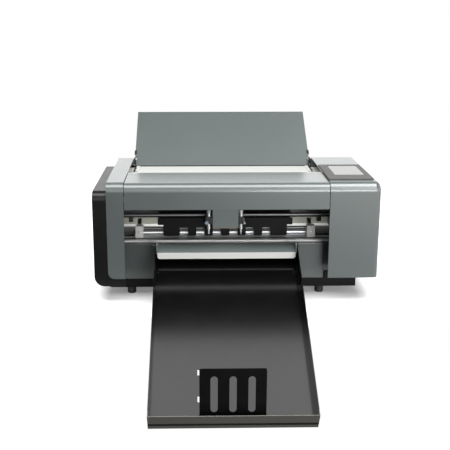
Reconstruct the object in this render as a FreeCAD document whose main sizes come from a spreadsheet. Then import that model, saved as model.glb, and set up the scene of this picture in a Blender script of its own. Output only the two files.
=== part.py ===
import FreeCAD, Part
import Sketcher
import math
import operator
import os

# Desk cutting plotter for A3 sheets. Millimetres: X to the right, Y towards the back, Z up.
# The origin lies on the resting plane of the feet, midway across the throat, in the plane
# of the housings' fronts.

OPERATIONS = {"+": operator.add, "-": operator.sub, "*": operator.mul, "/": operator.truediv}
START, END, CENTRE = range(1, 4)
ORIGIN = -START
VECTOR = FreeCAD.Vector
NEAR = 0.01

os.makedirs("parts", exist_ok=True)
doc = FreeCAD.newDocument("CuttingPlotter")


class Size:
    """A length in millimetres with the sheet formula that it comes from."""

    def __init__(self, value, formula):
        self.value = value
        self.formula = formula

    def __float__(self):
        return float(self.value)

    def __add__(self, other):
        return combine(self, "+", other)

    def __radd__(self, other):
        return combine(other, "+", self)

    def __sub__(self, other):
        return combine(self, "-", other)

    def __rsub__(self, other):
        return combine(other, "-", self)

    def __mul__(self, other):
        return combine(self, "*", other)

    def __rmul__(self, other):
        return combine(other, "*", self)

    def __truediv__(self, other):
        return combine(self, "/", other)

    def __neg__(self):
        return combine(0, "-", self)


def formula(value):
    return value.formula if isinstance(value, Size) else repr(float(value))


def combine(left, sign, right):
    result = OPERATIONS[sign](float(left), float(right))
    return Size(result, f"({formula(left)} {sign} {formula(right)})")


def bind(thing, path, value):
    """Tie a property or a constraint to the sheet."""
    thing.setExpression(path, formula(value))


def make_sheet(sizes):
    """Write the driving dimensions into the sheet and return them by name."""
    sheet = doc.addObject("Spreadsheet::Sheet", "Sizes")
    named = {}
    for row, (alias, value) in enumerate(sizes.items(), 1):
        sheet.set(f"A{row}", alias)
        sheet.set(f"B{row}", str(value))
        sheet.setAlias(f"B{row}", alias)
        named[alias] = Size(value, f"Sizes.{alias}")
    doc.recompute()
    return named


def fix_point(sketch, shape, spot, u, v):
    """Hold one point of a sketched shape at (u, v)."""
    for kind, value in (("DistanceX", u), ("DistanceY", v)):
        rule = sketch.addConstraint(
            Sketcher.Constraint(kind, ORIGIN, START, shape, spot, float(value)))
        bind(sketch, f"Constraints[{rule}]", value)


def fix_radius(sketch, shape, radius):
    rule = sketch.addConstraint(Sketcher.Constraint("Radius", shape, float(radius)))
    bind(sketch, f"Constraints[{rule}]", radius)


def circle(u, v, radius):
    """Outline: a full circle."""
    def draw(sketch):
        ring = Part.Circle(VECTOR(float(u), float(v), 0), VECTOR(0, 0, 1), float(radius))
        shape = sketch.addGeometry(ring, False)
        fix_point(sketch, shape, CENTRE, u, v)
        fix_radius(sketch, shape, radius)
    return draw


def corner_arc(before, here, after, radius):
    """The arc that rounds a corner, its two ends in order, and whether it turns left."""
    back, ahead = (before - here).normalize(), (after - here).normalize()
    half = back.getAngle(ahead) / 2
    entry = here + back * (radius / math.tan(half))
    leave = here + ahead * (radius / math.tan(half))
    middle = here + (back + ahead).normalize() * (radius / math.sin(half))
    left_turn = (here - before).cross(after - here).z > 0
    first, last = (entry, leave) if left_turn else (leave, entry)
    start = math.atan2(first.y - middle.y, first.x - middle.x)
    stop = math.atan2(last.y - middle.y, last.x - middle.x)
    if stop < start:
        stop += 2 * math.pi
    arc = Part.ArcOfCircle(Part.Circle(middle, VECTOR(0, 0, 1), radius), start, stop)
    return arc, entry, leave, left_turn


def polygon(*corners):
    """Outline: straight sides through corners (u, v), or (u, v, radius) for a rounded one."""
    def draw(sketch):
        spots = [VECTOR(float(corner[0]), float(corner[1]), 0) for corner in corners]
        count = len(corners)
        entries, leaves, rounds = list(spots), list(spots), {}
        for i, corner in enumerate(corners):
            if len(corner) == 3:
                arc, entries[i], leaves[i], left_turn = corner_arc(
                    spots[i - 1], spots[i], spots[(i + 1) % count], float(corner[2]))
                rounds[i] = (sketch.addGeometry(arc, False), left_turn)
        sides = [sketch.addGeometry(Part.LineSegment(leaves[i], entries[(i + 1) % count]), False)
                 for i in range(count)]
        for i, corner in enumerate(corners):
            side_in, side_out = sides[i - 1], sides[i]
            if i not in rounds:
                sketch.addConstraint(Sketcher.Constraint("Coincident", side_in, END, side_out, START))
                fix_point(sketch, side_out, START, corner[0], corner[1])
                continue
            arc, left_turn = rounds[i]
            near, far = (START, END) if left_turn else (END, START)
            tip = sketch.addGeometry(Part.Point(spots[i]), True)
            fix_point(sketch, tip, START, corner[0], corner[1])
            sketch.addConstraint(Sketcher.Constraint("Tangent", side_in, END, arc, near))
            sketch.addConstraint(Sketcher.Constraint("Tangent", arc, far, side_out, START))
            sketch.addConstraint(Sketcher.Constraint("PointOnObject", tip, START, side_in))
            sketch.addConstraint(Sketcher.Constraint("PointOnObject", tip, START, side_out))
            fix_radius(sketch, arc, corner[2])
    return draw


def box(u0, u1, v0, v1, radius=None):
    """Outline: a rectangle, with all its corners rounded if a radius is given."""
    rounding = () if radius is None else (radius,)
    return polygon((u0, v0) + rounding, (u1, v0) + rounding, (u1, v1) + rounding, (u0, v1) + rounding)


def track(first, second):
    """Outline: round two circles (u, v, radius) and along their outer tangents."""
    def draw(sketch):
        centres = [VECTOR(float(u), float(v), 0) for u, v, radius in (first, second)]
        radii = [float(first[2]), float(second[2])]
        span = centres[1] - centres[0]
        heading = math.atan2(span.y, span.x)
        lean = math.acos((radii[0] - radii[1]) / span.Length)
        sweeps = ((heading + lean, heading - lean + 2 * math.pi), (heading - lean, heading + lean))
        ends = []
        for spot, centre, radius, sweep in zip((first, second), centres, radii, sweeps):
            ring = Part.Circle(centre, VECTOR(0, 0, 1), radius)
            arc = sketch.addGeometry(Part.ArcOfCircle(ring, *sweep), False)
            fix_point(sketch, arc, CENTRE, spot[0], spot[1])
            fix_radius(sketch, arc, spot[2])
            ends.append(arc)
        for side, near, far in ((1, START, END), (-1, END, START)):
            offset = VECTOR(math.cos(heading + side * lean), math.sin(heading + side * lean), 0)
            line = sketch.addGeometry(Part.LineSegment(centres[0] + offset * radii[0],
                                                       centres[1] + offset * radii[1]), False)
            sketch.addConstraint(Sketcher.Constraint("Tangent", line, START, ends[0], near))
            sketch.addConstraint(Sketcher.Constraint("Tangent", line, END, ends[1], far))
    return draw


class Piece:
    """A sub-part: one body whose sketches and lengths are tied to the sheet."""

    pieces = []

    def __init__(self, label):
        self.body = doc.addObject("PartDesign::Body", label)
        self.body.Label = label
        self.body.AllowCompound = True
        Piece.pieces.append(self.body)

    def origin(self, role):
        return next(item for item in self.body.Origin.OriginFeatures if item.Role == role)

    def sketch(self, plane, level, outlines):
        """A sketch across the named axis pair, at the given level of the third axis."""
        sketch = self.body.newObject("Sketcher::SketchObject", "Outline")
        sketch.AttachmentSupport = (self.origin(f"{plane}_Plane"), [""])
        sketch.MapMode = "FlatFace"
        bind(sketch, "AttachmentOffset.Base.z", -level if plane == "XZ" else level)
        for draw in outlines:
            draw(sketch)
        return sketch

    def feature(self, kind, plane, start, end, outlines):
        """Pad or pocket between two levels. An XZ sketch faces the front, towards -Y."""
        first, last = (end, start) if plane == "XZ" else (start, end)
        base = last if kind == "Pocket" else first
        profile = self.sketch(plane, base, outlines)
        feature = self.body.newObject(f"PartDesign::{kind}", kind)
        feature.Profile = profile
        bind(feature, "Length", end - start)
        return feature

    def pad(self, plane, start, end, *outlines):
        self.feature("Pad", plane, start, end, outlines)
        return self

    def cut(self, plane, start, end, *outlines):
        """Remove material. A pocket runs against its sketch's normal."""
        self.feature("Pocket", plane, start, end, outlines)
        return self

    def mirror(self, role="YZ_Plane"):
        """Mirror all that the body has so far."""
        originals = [item for item in self.body.Group
                     if item.isDerivedFrom("PartDesign::ProfileBased")]
        mirrored = self.body.newObject("PartDesign::Mirrored", "Mirrored")
        mirrored.Originals = originals
        mirrored.MirrorPlane = (self.origin(role), [""])
        self.body.Tip = mirrored
        return self

    def soften(self, kind, radius, pick):
        """Fillet or chamfer the edges that pick(edge) names."""
        doc.recompute()
        tip = self.body.Tip
        names = [f"Edge{number}" for number, edge in enumerate(tip.Shape.Edges, 1) if pick(edge)]
        feature = self.body.newObject(f"PartDesign::{kind}", kind)
        feature.Base = (tip, names)
        bind(feature, "Radius" if kind == "Fillet" else "Size", radius)
        return self

    def shell(self, wall, pick):
        """Hollow the body out, leaving the faces that pick(face) names open."""
        doc.recompute()
        tip = self.body.Tip
        names = [f"Face{number}" for number, face in enumerate(tip.Shape.Faces, 1)
                 if pick(face.BoundBox)]
        feature = self.body.newObject("PartDesign::Thickness", "Shell")
        feature.Base = (tip, names)
        feature.Reversed = True
        bind(feature, "Value", wall)
        return self

    def place(self, x, y, z, angle=None, axis=VECTOR(1, 0, 0)):
        """Put the body, drawn about its own origin, where it sits."""
        for name, value in zip("xyz", (x, y, z)):
            bind(self.body, f"Placement.Base.{name}", value)
        if angle is not None:
            self.body.Placement = FreeCAD.Placement(self.body.Placement.Base,
                                                    FreeCAD.Rotation(axis, float(angle)))
            bind(self.body, "Placement.Rotation.Angle", angle)
        return self


def at(edge, **where):
    """True if the whole of a straight edge has the given coordinates."""
    return all(abs(getattr(vertex.Point, axis) - float(value)) < NEAR
               for vertex in edge.Vertexes for axis, value in where.items())


def rod(label, x0, x1, y, z, radius):
    """A round bar along X."""
    return Piece(label).pad("YZ", x0, x1, circle(y, z, radius))


# Driving dimensions

SIZES = {
    # throat and housings
    "throat_half": 248.6, "seam": 1.4, "running_gap": 0.4, "seat_gap": 0.3, "housing_depth": 341.5,
    "housing_top": 298.7, "housing_wall": 2.5, "right_width": 123.5, "right_bottom": 60.4,
    "cap_width": 41.6, "cap_bottom": 60.4, "cap_corner": 16, "cap_proud": 3, "left_width": 75.5,
    "left_top": 277.4, "left_bottom": 40.4, "left_corner": 25, "fold_radius": 22,
    "shoulder_radius": 13,
    # top cover
    "cover_top": 297, "cover_depth": 142, "cover_lip": 234, "cover_wall": 1.6, "cover_hem": 14,
    "cover_fold": 20, "groove_y": 114, "groove_width": 1.6, "groove_depth": 0.8,
    # base, panel and feet
    "base_bottom": 18, "base_top": 40.2, "base_front": 60, "pan_inset": 11.5, "pan_out_left": 43.4,
    "pan_out_right": 81.4, "base_wall": 2, "panel_bottom": 40.6, "panel_wall": 2, "panel_top": 132.4,
    "lip_depth": 6, "foot_radius": 11, "foot_inset": 9.6, "foot_behind": 18, "foot_front_y": 73,
    "foot_round": 2.5,
    # side frames and what spans them
    "frame_out": 36.4, "frame_wall": 4, "frame_behind": 45.5, "frame_front": 66, "platen_top": 134,
    "platen_wall": 2, "platen_front": 83, "sheet_level": 136, "inner_wall_top": 153, "inner_wall": 1.6,
    "beam_front": 62, "beam_back": 139, "beam_bottom": 214, "beam_wall": 3, "guide_y": 130,
    "guide_z": 188, "guide_radius": 6, "block_inset": 1.1, "block_width": 10.5, "block_seat": 2,
    "block_depth": 13,
    # drive roller, pinch roller and pinch arms
    "roller_y": 132, "drive_radius": 8, "drive_inset": 12.6, "pinch_radius": 4.4, "pinch_inset": 29.1,
    "arm_near": 1.5, "arm_wall": 6.5, "pinch_block_half": 10, "pinch_rise": 0.8, "journal_radius": 3.5,
    "bearing_radius": 8, "bearing_width": 5, "tie_radius": 4.1, "tie_z": 152.6, "pivot_y": 172,
    "pivot_z": 160, "pivot_radius": 4, "pivot_plate": 3, "pivot_foot": 10, "pinch_block_front": 104,
    "pinch_block_top": 165,
    # comb guide
    "comb_y": 117, "comb_wall": 1.5, "comb_top": 183, "comb_step": 165, "comb_wide": 173,
    "comb_narrow": 159, "comb_foot": 137, "comb_slot": 21, "comb_slot_top": 157.6, "comb_pitch": 42.4,
    # exit chute and its trim
    "chute_half": 171.5, "chute_wall": 1.5, "chute_front": 20, "chute_low": 120.5, "chute_high": 131.4,
    "ear_top": 145.5, "trim_wall": 3, "trim_half": 170, "trim_bottom": 105.6, "trim_corner": 6,
    # catch tray and stop plate
    "pivot_front": 20, "pivot_height": 139, "pin_radius": 2.5, "pin_fit": 0.08, "pin_head": 4,
    "tray_half": 175.6, "tray_wall": 1.5, "tray_slope": 29.32, "tray_drop": 47.5, "tray_reach": 475.4,
    "tray_back": 18.5, "tray_side": 44.3, "tray_ear": 7, "tray_slot_x": 67.2, "tray_slot_width": 6,
    "tray_slot_length": 15, "slot_set_first": 135.9, "slot_set_second": 68.5, "slot_set_third": 21.2,
    "stop_half": 69.3, "stop_top": -9, "stop_foot": -121.4, "stop_y": -356.5, "stop_wall": 1.5,
    "stop_flange": 13, "stop_slot": 7.5, "stop_slot_pitch": 39, "stop_slot_low": -99,
    "stop_slot_high": -33.5, "stop_corner": 5, "stop_tab": 9,
    # sheet inlet, shelf and rear support
    "shelf_level": 272, "shelf_out": 10.5, "shelf_length": 88, "slope_run": 17, "feed_gap": 21,
    "bed_gap": 5, "shelf_wall": 1.6, "shelf_fold": 10, "guide_foot_z": 154, "feed_z": 222,
    "feed_radius": 13, "feed_shaft_radius": 4, "feed_tyre_width": 22, "feed_tyre_x": 62,
    "support_inset": 1.3, "support_length": 219.7, "support_wall": 1.6, "support_slope": 35.9,
    "support_flange": 9,
    # rear connections and vents
    "inlet_out": 63.4, "inlet_z": 100, "inlet_width": 28, "inlet_height": 24, "inlet_rim": 2,
    "inlet_depth": 20, "inlet_pitch": 7, "blade_pin": 3, "flange_plate": 1.6, "switch_out": 31.4,
    "switch_width": 20, "switch_height": 26, "switch_depth": 16, "rocker_gap": 0.6, "rocker_tilt": 1.6,
    "rocker_root": 3, "rocker_pivot": 1, "rocker_hub": 3, "port_out": 91.4, "port_z": 100,
    "port_width": 14, "port_height": 13, "port_depth": 14, "vent_x": -150, "vent_pitch": 12,
    "vent_width": 4, "vent_low": 80, "vent_high": 130,
    # details of the frames, motors and shafts
    "frame_web": 16, "window_top": 106, "window_left": 70, "window_corner": 8, "shaft_fit": 0.05,
    "shaft_end": 3, "motor_z": 84, "motor_half": 21, "motor_length": 38, "motor_corner": 4,
    "motor_boss": 11, "motor_pilot": 2, "motor_shaft": 2.5, "drive_pulley_radius": 14, "pulley_gap": 4,
    "pulley_length": 10, "belt_reach": 64, "motor_pulley_radius": 8, "flange_wall": 1,
    "flange_rise": 1.8, "tooth_gap": 0.9, "belt_gap": 0.3, "belt_wall": 1.3, "platen_rim": 14,
    "platen_slot": 9.5, "lip_top": 135.9, "lip_round": 1.2, "block_drop": 17, "comb_corner": 2.5,
    "comb_shelf_z": 171, "comb_web_y": 162.5, "comb_web_rise": 2, "comb_tab": 24, "pinch_journal": 2.5,
    "pinch_block_back": 126, "pinch_wall": 3, "boss_z": 150, "boss_radius": 4.6, "arm_front": 108,
    "arm_rise": 0.8, "arm_top": 158.8, "arm_hub": 8, "belt_z": 236, "belt_y": 107, "belt_width": 6,
    "pulley_out": 13.4, "pulley_radius": 8, "stud_boss": 6,
    # carriage and tools
    "body_half": 32.5, "plate_front": 103, "plate_back": 114.5, "plate_foot": 160, "comb_clear": 2.5,
    "hub_radius": 11, "hub_back": 141, "body_top": 212.5, "bush_radius": 8.5, "bush_length": 14,
    "clamp_half": 12, "hood_half": 32.5, "hood_front": 92, "hood_back": 103, "hood_foot": 163,
    "hood_top": 212.5, "coil_near": 5, "coil_far": 25, "coil_front": 94.4, "coil_foot": 178,
    "coil_top": 206, "plunger_drop": 9, "plunger_radius": 2, "blade_x": 39.5, "crease_x": 42.5,
    "blade_reach": 6, "crease_reach": 9, "tool_y": 101, "tool_radius": 4.6, "slider_front": 94,
    "slider_back": 112, "slider_foot": 173, "slider_top": 192, "tool_foot": 150, "tool_top": 208.5,
    "collar": 5, "collar_rise": 1, "body_foot": 159, "nose_radius": 2.2, "crease_tip": 144.5,
    "blade_half": 0.35, "blade_width": 1, "blade_tip": 143.5, "rail_y": 106.5, "rail_width": 3,
    "rail_reach": 2.4, "rail_foot": 163, "rail_top": 205, "knob_out": 5, "stem": 1.9,
    "stem_radius": 1.6, "knob_length": 6, "knob_z": 177.5, "knob_radius": 5, "knob_grip": 1.2,
    "lever_z": 184, "lever_y": 108, "lever_reach": 20, "lever_drop": 7, "lever_hub": 4,
    "lever_wall": 2.2,
    # details of the chute, tray and stop plate
    "chute_foot": 112, "head_gap": 0.5, "head_wall": 2.6, "tray_heel": 23.5, "heel_rise": 10,
    "stop_tab_width": 8, "stop_heel": 4,
    # details of the inlet and support
    "shelf_hem": 10, "tyre_edge": 1, "bracket_inset": 4.8, "bracket_set": 8, "bracket_sheet": 2,
    "bracket_foot": 10, "hinge_out": 8, "hinge_z": 273.5, "hinge_hub": 5.5, "ear_inset": 2,
    "ear_width": 8, "bracket_top": 292, "screw_set": 6, "screw_pitch": 31, "screw_radius": 2.8,
    "screw_head": 2, "hinge_drop": 3.7, "support_start": -5, "support_notch": 5.8, "notch_length": 30,
    "support_lip": 7.5, "clip_wall": 2.2, "clip_start": 40, "clip_length": 12, "clip_drop": 5,
    "clip_reach": 4.5,
    # screen and electronics
    "bezel_width": 110.4, "bezel_front": 36, "bezel_back": 215, "bezel_height": 4, "bezel_edge": 1.2,
    "bezel_corner": 3, "glass_inset": 22.4, "glass_width": 75, "glass_front": 80, "glass_back": 199,
    "glass_depth": 2, "glass_sunk": 0.6, "standoff": 5, "standoff_radius": 3, "board_wall": 1.6,
    "board_front": 110, "board_back": 250, "board_low": 114, "board_high": 234, "chip_pitch": 30,
    "chip_size": 16, "chip_wall": 3, "chip_rise": 40, "supply_height": 42, "supply_left": -60,
    "supply_width": 150, "supply_front": 190, "supply_depth": 95,
}

S = type("Sizes", (), make_sheet(SIZES))


# Places that several pieces share

FRONT, GROUND = 0, 0
LEFT_SIDE = -(S.throat_half + S.left_width)
CAP_SIDE = -(S.throat_half + S.cap_width)
RIGHT_SIDE = S.throat_half + S.right_width
COVER_HALF = S.throat_half - S.seam
BEAM_TOP = S.cover_top - S.cover_wall
FRAME_HALF = S.throat_half + S.frame_out
SPAN_HALF = FRAME_HALF - S.seat_gap
PAN_LEFT = S.throat_half + S.pan_out_left
PAN_RIGHT = S.throat_half + S.pan_out_right
PLINTH_LEFT = S.throat_half + S.seam
FOOT_X = S.throat_half - S.foot_inset
BASE_BACK = S.housing_depth - S.pan_inset
FOOT_BACK_Y = BASE_BACK - S.foot_behind
FRAME_BACK = S.housing_depth - S.frame_behind
SHELF_BACK = S.housing_depth + S.shelf_out
SHELF_FRONT = SHELF_BACK - S.shelf_length
SLOPE_FOOT_Y = SHELF_FRONT - S.slope_run
FEED_Y = SHELF_FRONT - S.feed_gap
PLATEN_BACK = SLOPE_FOOT_Y - S.bed_gap
DRIVE_Z = S.sheet_level - S.drive_radius
BELT_FRONT = S.belt_y - S.belt_width / 2 - S.flange_wall * 2
PINCH_Z = S.sheet_level + S.pinch_rise + S.pinch_radius
PINCH_X = S.throat_half - S.pinch_inset
ARM_INNER = PINCH_X - S.arm_near
ARM_OUTER = ARM_INNER + S.arm_wall
PINCH_BLOCK_INNER = PINCH_X - S.pinch_block_half
PINCH_BLOCK_OUTER = PINCH_X + S.pinch_block_half
DRIVE_HALF = S.throat_half - S.drive_inset
GUIDE_HALF = FRAME_HALF + S.frame_wall
BLOCK_OUTER = S.throat_half - S.block_inset
BLOCK_INNER = BLOCK_OUTER - S.block_width
PULLEY_X = S.throat_half + S.pulley_out
PULLEY_INNER = FRAME_HALF + S.frame_wall + S.pulley_gap
PULLEY_OUTER = PULLEY_INNER + S.pulley_length
MOTOR_Y = S.roller_y + S.belt_reach
HINGE_Y = SHELF_BACK + S.hinge_out
EAR_BACK = SHELF_BACK - S.ear_inset
SUPPORT_HALF = S.throat_half - S.support_inset
BRACKET_X = SUPPORT_HALF - S.bracket_inset
BRACKET_START = SHELF_FRONT + S.bracket_set
BEZEL_RIGHT = S.throat_half + S.bezel_width
GLASS_LEFT = S.throat_half + S.glass_inset
GLASS_RIGHT = GLASS_LEFT + S.glass_width
INLET_X = S.throat_half + S.inlet_out
SWITCH_X = S.throat_half + S.switch_out
PORT_X = S.throat_half + S.port_out


# Housings, covers and base

def left_housing():
    """Black moulded end shell, open towards the throat and under the grey cap."""
    inner, open_side = -S.throat_half, CAP_SIDE - S.running_gap
    piece = Piece("left_housing")
    piece.pad("XZ", S.cap_proud, BASE_BACK,
              polygon((LEFT_SIDE, S.left_bottom, S.left_corner), (inner, S.left_bottom),
                      (inner, S.left_top), (LEFT_SIDE, S.left_top)))
    piece.soften("Fillet", S.fold_radius, lambda edge: at(edge, y=S.cap_proud, z=S.left_top))
    piece.shell(S.housing_wall, lambda face: abs(face.XMin - float(inner)) < NEAR)
    piece.cut("XZ", S.cap_proud + S.housing_wall, BASE_BACK + S.housing_wall,
              box(open_side, inner + S.housing_wall, S.left_bottom - S.housing_wall,
                  S.left_top + S.housing_wall))


def left_cap():
    """Grey band up the front of the left end and over its top."""
    wall, floor = S.cap_proud, S.left_top + S.running_gap
    piece = Piece("left_cap")
    piece.pad("YZ", CAP_SIDE, -S.throat_half,
              polygon((FRONT, S.cap_bottom), (wall, S.cap_bottom), (wall, floor),
                      (S.housing_depth, floor), (S.housing_depth, S.housing_top),
                      (FRONT, S.housing_top, S.fold_radius)))
    piece.cut("YZ", CAP_SIDE + wall, -S.throat_half + wall,
              polygon((wall, floor - wall), (S.housing_depth - wall, floor - wall),
                      (S.housing_depth - wall, S.housing_top - wall),
                      (wall, S.housing_top - wall, S.fold_radius - wall)))
    piece.soften("Fillet", S.cap_corner, lambda edge: at(edge, x=CAP_SIDE, z=S.cap_bottom))


def right_housing():
    """Grey shell over the electronics, open towards the throat and underneath."""
    piece = Piece("right_housing")
    piece.pad("XZ", FRONT, S.housing_depth,
              box(S.throat_half, RIGHT_SIDE, S.right_bottom, S.housing_top))
    piece.soften("Fillet", S.fold_radius, lambda edge: at(edge, y=0, z=S.housing_top))
    piece.soften("Fillet", S.shoulder_radius, lambda edge: at(edge, x=RIGHT_SIDE, z=S.housing_top))
    piece.shell(S.housing_wall, lambda face: abs(face.XMax - float(S.throat_half)) < NEAR
                or abs(face.ZMax - float(S.right_bottom)) < NEAR)
    piece.cut("XZ", S.housing_depth - 2 * S.housing_wall, S.housing_depth + S.housing_wall,
              box(INLET_X - S.inlet_width / 2, INLET_X + S.inlet_width / 2,
                  S.inlet_z - S.inlet_height / 2, S.inlet_z + S.inlet_height / 2),
              box(SWITCH_X - S.switch_width / 2, SWITCH_X + S.switch_width / 2,
                  S.inlet_z - S.switch_height / 2, S.inlet_z + S.switch_height / 2),
              box(PORT_X - S.port_width / 2, PORT_X + S.port_width / 2,
                  S.port_z - S.port_height / 2, S.port_z + S.port_height / 2))


def top_cover():
    """Grey sheet folded over the throat, with a shallow groove along its top."""
    wall, hem = S.cover_wall, S.cover_hem
    piece = Piece("top_cover")
    piece.pad("YZ", -COVER_HALF, COVER_HALF,
              polygon((FRONT, S.cover_lip), (hem, S.cover_lip), (hem, S.cover_lip + wall),
                      (wall, S.cover_lip + wall), (wall, S.cover_top - wall, S.cover_fold - wall),
                      (S.cover_depth - wall, S.cover_top - wall), (S.cover_depth - wall, S.cover_top - hem),
                      (S.cover_depth, S.cover_top - hem), (S.cover_depth, S.cover_top),
                      (FRONT, S.cover_top, S.cover_fold)))
    piece.cut("YZ", -S.throat_half, S.throat_half,
              box(S.groove_y, S.groove_y + S.groove_width, S.cover_top - S.groove_depth,
                  S.cover_top + S.groove_depth))


def base_pan():
    """Black pan that carries the machine, stepped up under the right housing."""
    wall, front, back = S.base_wall, S.base_front, BASE_BACK
    plinth_top = S.right_bottom - S.seat_gap
    piece = Piece("base_pan")
    piece.pad("XY", S.base_bottom, S.base_top, box(-PAN_LEFT, PAN_RIGHT, front, back))
    piece.pad("XY", S.base_top, plinth_top, box(PLINTH_LEFT, PAN_RIGHT, front, back))
    piece.cut("XY", S.base_bottom + wall, plinth_top + wall,
              box(-PAN_LEFT + wall, PLINTH_LEFT, front + wall, back - wall),
              box(PLINTH_LEFT + wall, PAN_RIGHT - wall, front + wall, back - wall))


def feet():
    """Four round feet under the pan."""
    piece = Piece("feet")
    spots = [circle(side * FOOT_X, y, S.foot_radius)
             for side in (-1, 1) for y in (S.foot_front_y, FOOT_BACK_Y)]
    piece.pad("XY", GROUND, S.base_bottom, *spots)
    piece.soften("Fillet", S.foot_round, lambda edge: at(edge, z=0))


def front_panel():
    """Grey panel below the throat, its top edge folded back under the lip."""
    wall = S.panel_wall
    piece = Piece("front_panel")
    piece.pad("YZ", -SPAN_HALF, SPAN_HALF,
              polygon((S.base_front, S.panel_bottom), (S.base_front + wall, S.panel_bottom),
                      (S.base_front + wall, S.panel_top - wall), (S.platen_front - wall, S.panel_top - wall),
                      (S.platen_front - wall, S.panel_top), (S.base_front, S.panel_top, wall)))
    piece.cut("XZ", S.base_front - wall, S.platen_front,
              box(COVER_HALF, SPAN_HALF + wall, S.panel_bottom - wall, S.right_bottom))


def rear_panel():
    """Black sheet that closes the back below the sheet inlet."""
    piece = Piece("rear_panel")
    front, back = BASE_BACK - S.base_wall, BASE_BACK
    piece.pad("XZ", front, back,
              box(CAP_SIDE, COVER_HALF, S.panel_bottom, S.shelf_level - S.shelf_wall - S.seat_gap))
    for step in range(10):
        x = S.vent_x + S.vent_pitch * step
        piece.cut("XZ", front - S.base_wall, back + S.base_wall,
                  track((x, S.vent_low, S.vent_width / 2), (x, S.vent_high, S.vent_width / 2)))


def side_frame(label, side):
    """Steel plate at one end of the throat, bored for the shafts."""
    near, far = FRAME_HALF, FRAME_HALF + S.frame_wall
    piece = Piece(label)
    level = (near, far) if side > 0 else (-far, -near)
    window = box(S.frame_front + S.frame_web, FRAME_BACK - S.frame_web,
                 S.base_top + S.frame_web, S.window_top, S.window_corner)
    holes = [circle(S.roller_y, DRIVE_Z, S.bearing_radius), circle(S.guide_y, S.guide_z, S.guide_radius),
             circle(FEED_Y, S.feed_z, S.feed_shaft_radius + S.shaft_fit)]
    if side < 0:
        holes.append(circle(MOTOR_Y, S.motor_z, S.motor_boss))
        window = box(FRAME_BACK - S.window_left, FRAME_BACK - S.frame_web,
                     S.base_top + S.frame_web, S.window_top, S.window_corner)
    piece.pad("YZ", *level,
              polygon((S.frame_front, S.base_bottom + S.base_wall), (FRAME_BACK, S.base_bottom + S.base_wall),
                      (FRAME_BACK, S.shelf_level - S.shelf_wall - S.seat_gap, S.window_corner),
                      (S.frame_front, S.shelf_level - S.shelf_wall - S.seat_gap, S.window_corner)),
              window, *holes)


# Throat: platen, rollers, comb and beam

def platen():
    """Cutting bed with a long slot for the drive roller."""
    slot_half = FRAME_HALF - S.platen_rim
    piece = Piece("platen")
    piece.pad("XY", S.platen_top - S.platen_wall, S.platen_top,
              box(-SPAN_HALF, SPAN_HALF, S.platen_front, PLATEN_BACK),
              box(-slot_half, slot_half, S.roller_y - S.platen_slot, S.roller_y + S.platen_slot))


def platen_lip():
    """Bright aluminium edging along the front of the bed."""
    piece = Piece("platen_lip")
    piece.pad("YZ", -SPAN_HALF, SPAN_HALF,
              polygon((S.platen_front - S.lip_depth, S.panel_top), (S.platen_front, S.panel_top),
                      (S.platen_front, S.lip_top), (S.platen_front - S.lip_depth, S.lip_top, S.lip_round)))


def rear_inner_wall():
    """Upright sheet behind the bed."""
    piece = Piece("rear_inner_wall")
    back = PLATEN_BACK + S.seat_gap
    piece.pad("XZ", back, back + S.inner_wall,
              box(-SPAN_HALF, SPAN_HALF, S.platen_top - S.platen_wall, S.inner_wall_top))


def carriage_beam():
    """Steel channel across the machine that carries the rod, the belt and the cover."""
    wall, front, back = S.beam_wall, S.beam_front, S.beam_back
    ledge = S.guide_y - S.block_depth / 2 - wall
    piece = Piece("carriage_beam")
    piece.pad("YZ", -SPAN_HALF, SPAN_HALF,
              polygon((ledge, S.beam_bottom), (back, S.beam_bottom), (back, BEAM_TOP), (front, BEAM_TOP),
                      (front, BEAM_TOP - wall), (back - wall, BEAM_TOP - wall),
                      (back - wall, S.beam_bottom + wall), (ledge, S.beam_bottom + wall)))
    piece.cut("XZ", back - 2 * wall, back + wall, circle(PULLEY_X, S.belt_z, S.motor_boss))
    web = back - wall
    piece.pad("XZ", web - S.stud_boss, web, circle(-PULLEY_X, S.belt_z, S.motor_boss))
    piece.pad("XZ", BELT_FRONT, web - S.stud_boss, circle(-PULLEY_X, S.belt_z, S.motor_shaft))


def guide_rod():
    rod("guide_rod", -GUIDE_HALF, GUIDE_HALF, S.guide_y, S.guide_z, S.guide_radius)


def rod_end_blocks():
    """Black saddles under the rod that stop the carriage at each end."""
    piece = Piece("rod_end_blocks")
    half, foot, top = S.block_depth / 2, S.guide_z - S.block_drop, S.guide_z - S.block_seat
    piece.pad("YZ", BLOCK_INNER, BLOCK_OUTER,
              polygon((S.guide_y - half, foot, S.block_seat), (S.guide_y + half, foot, S.block_seat),
                      (S.guide_y + half, top), (S.guide_y - half, top)))
    piece.cut("YZ", BLOCK_INNER, BLOCK_OUTER, circle(S.guide_y, S.guide_z, S.guide_radius))
    piece.mirror()


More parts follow.
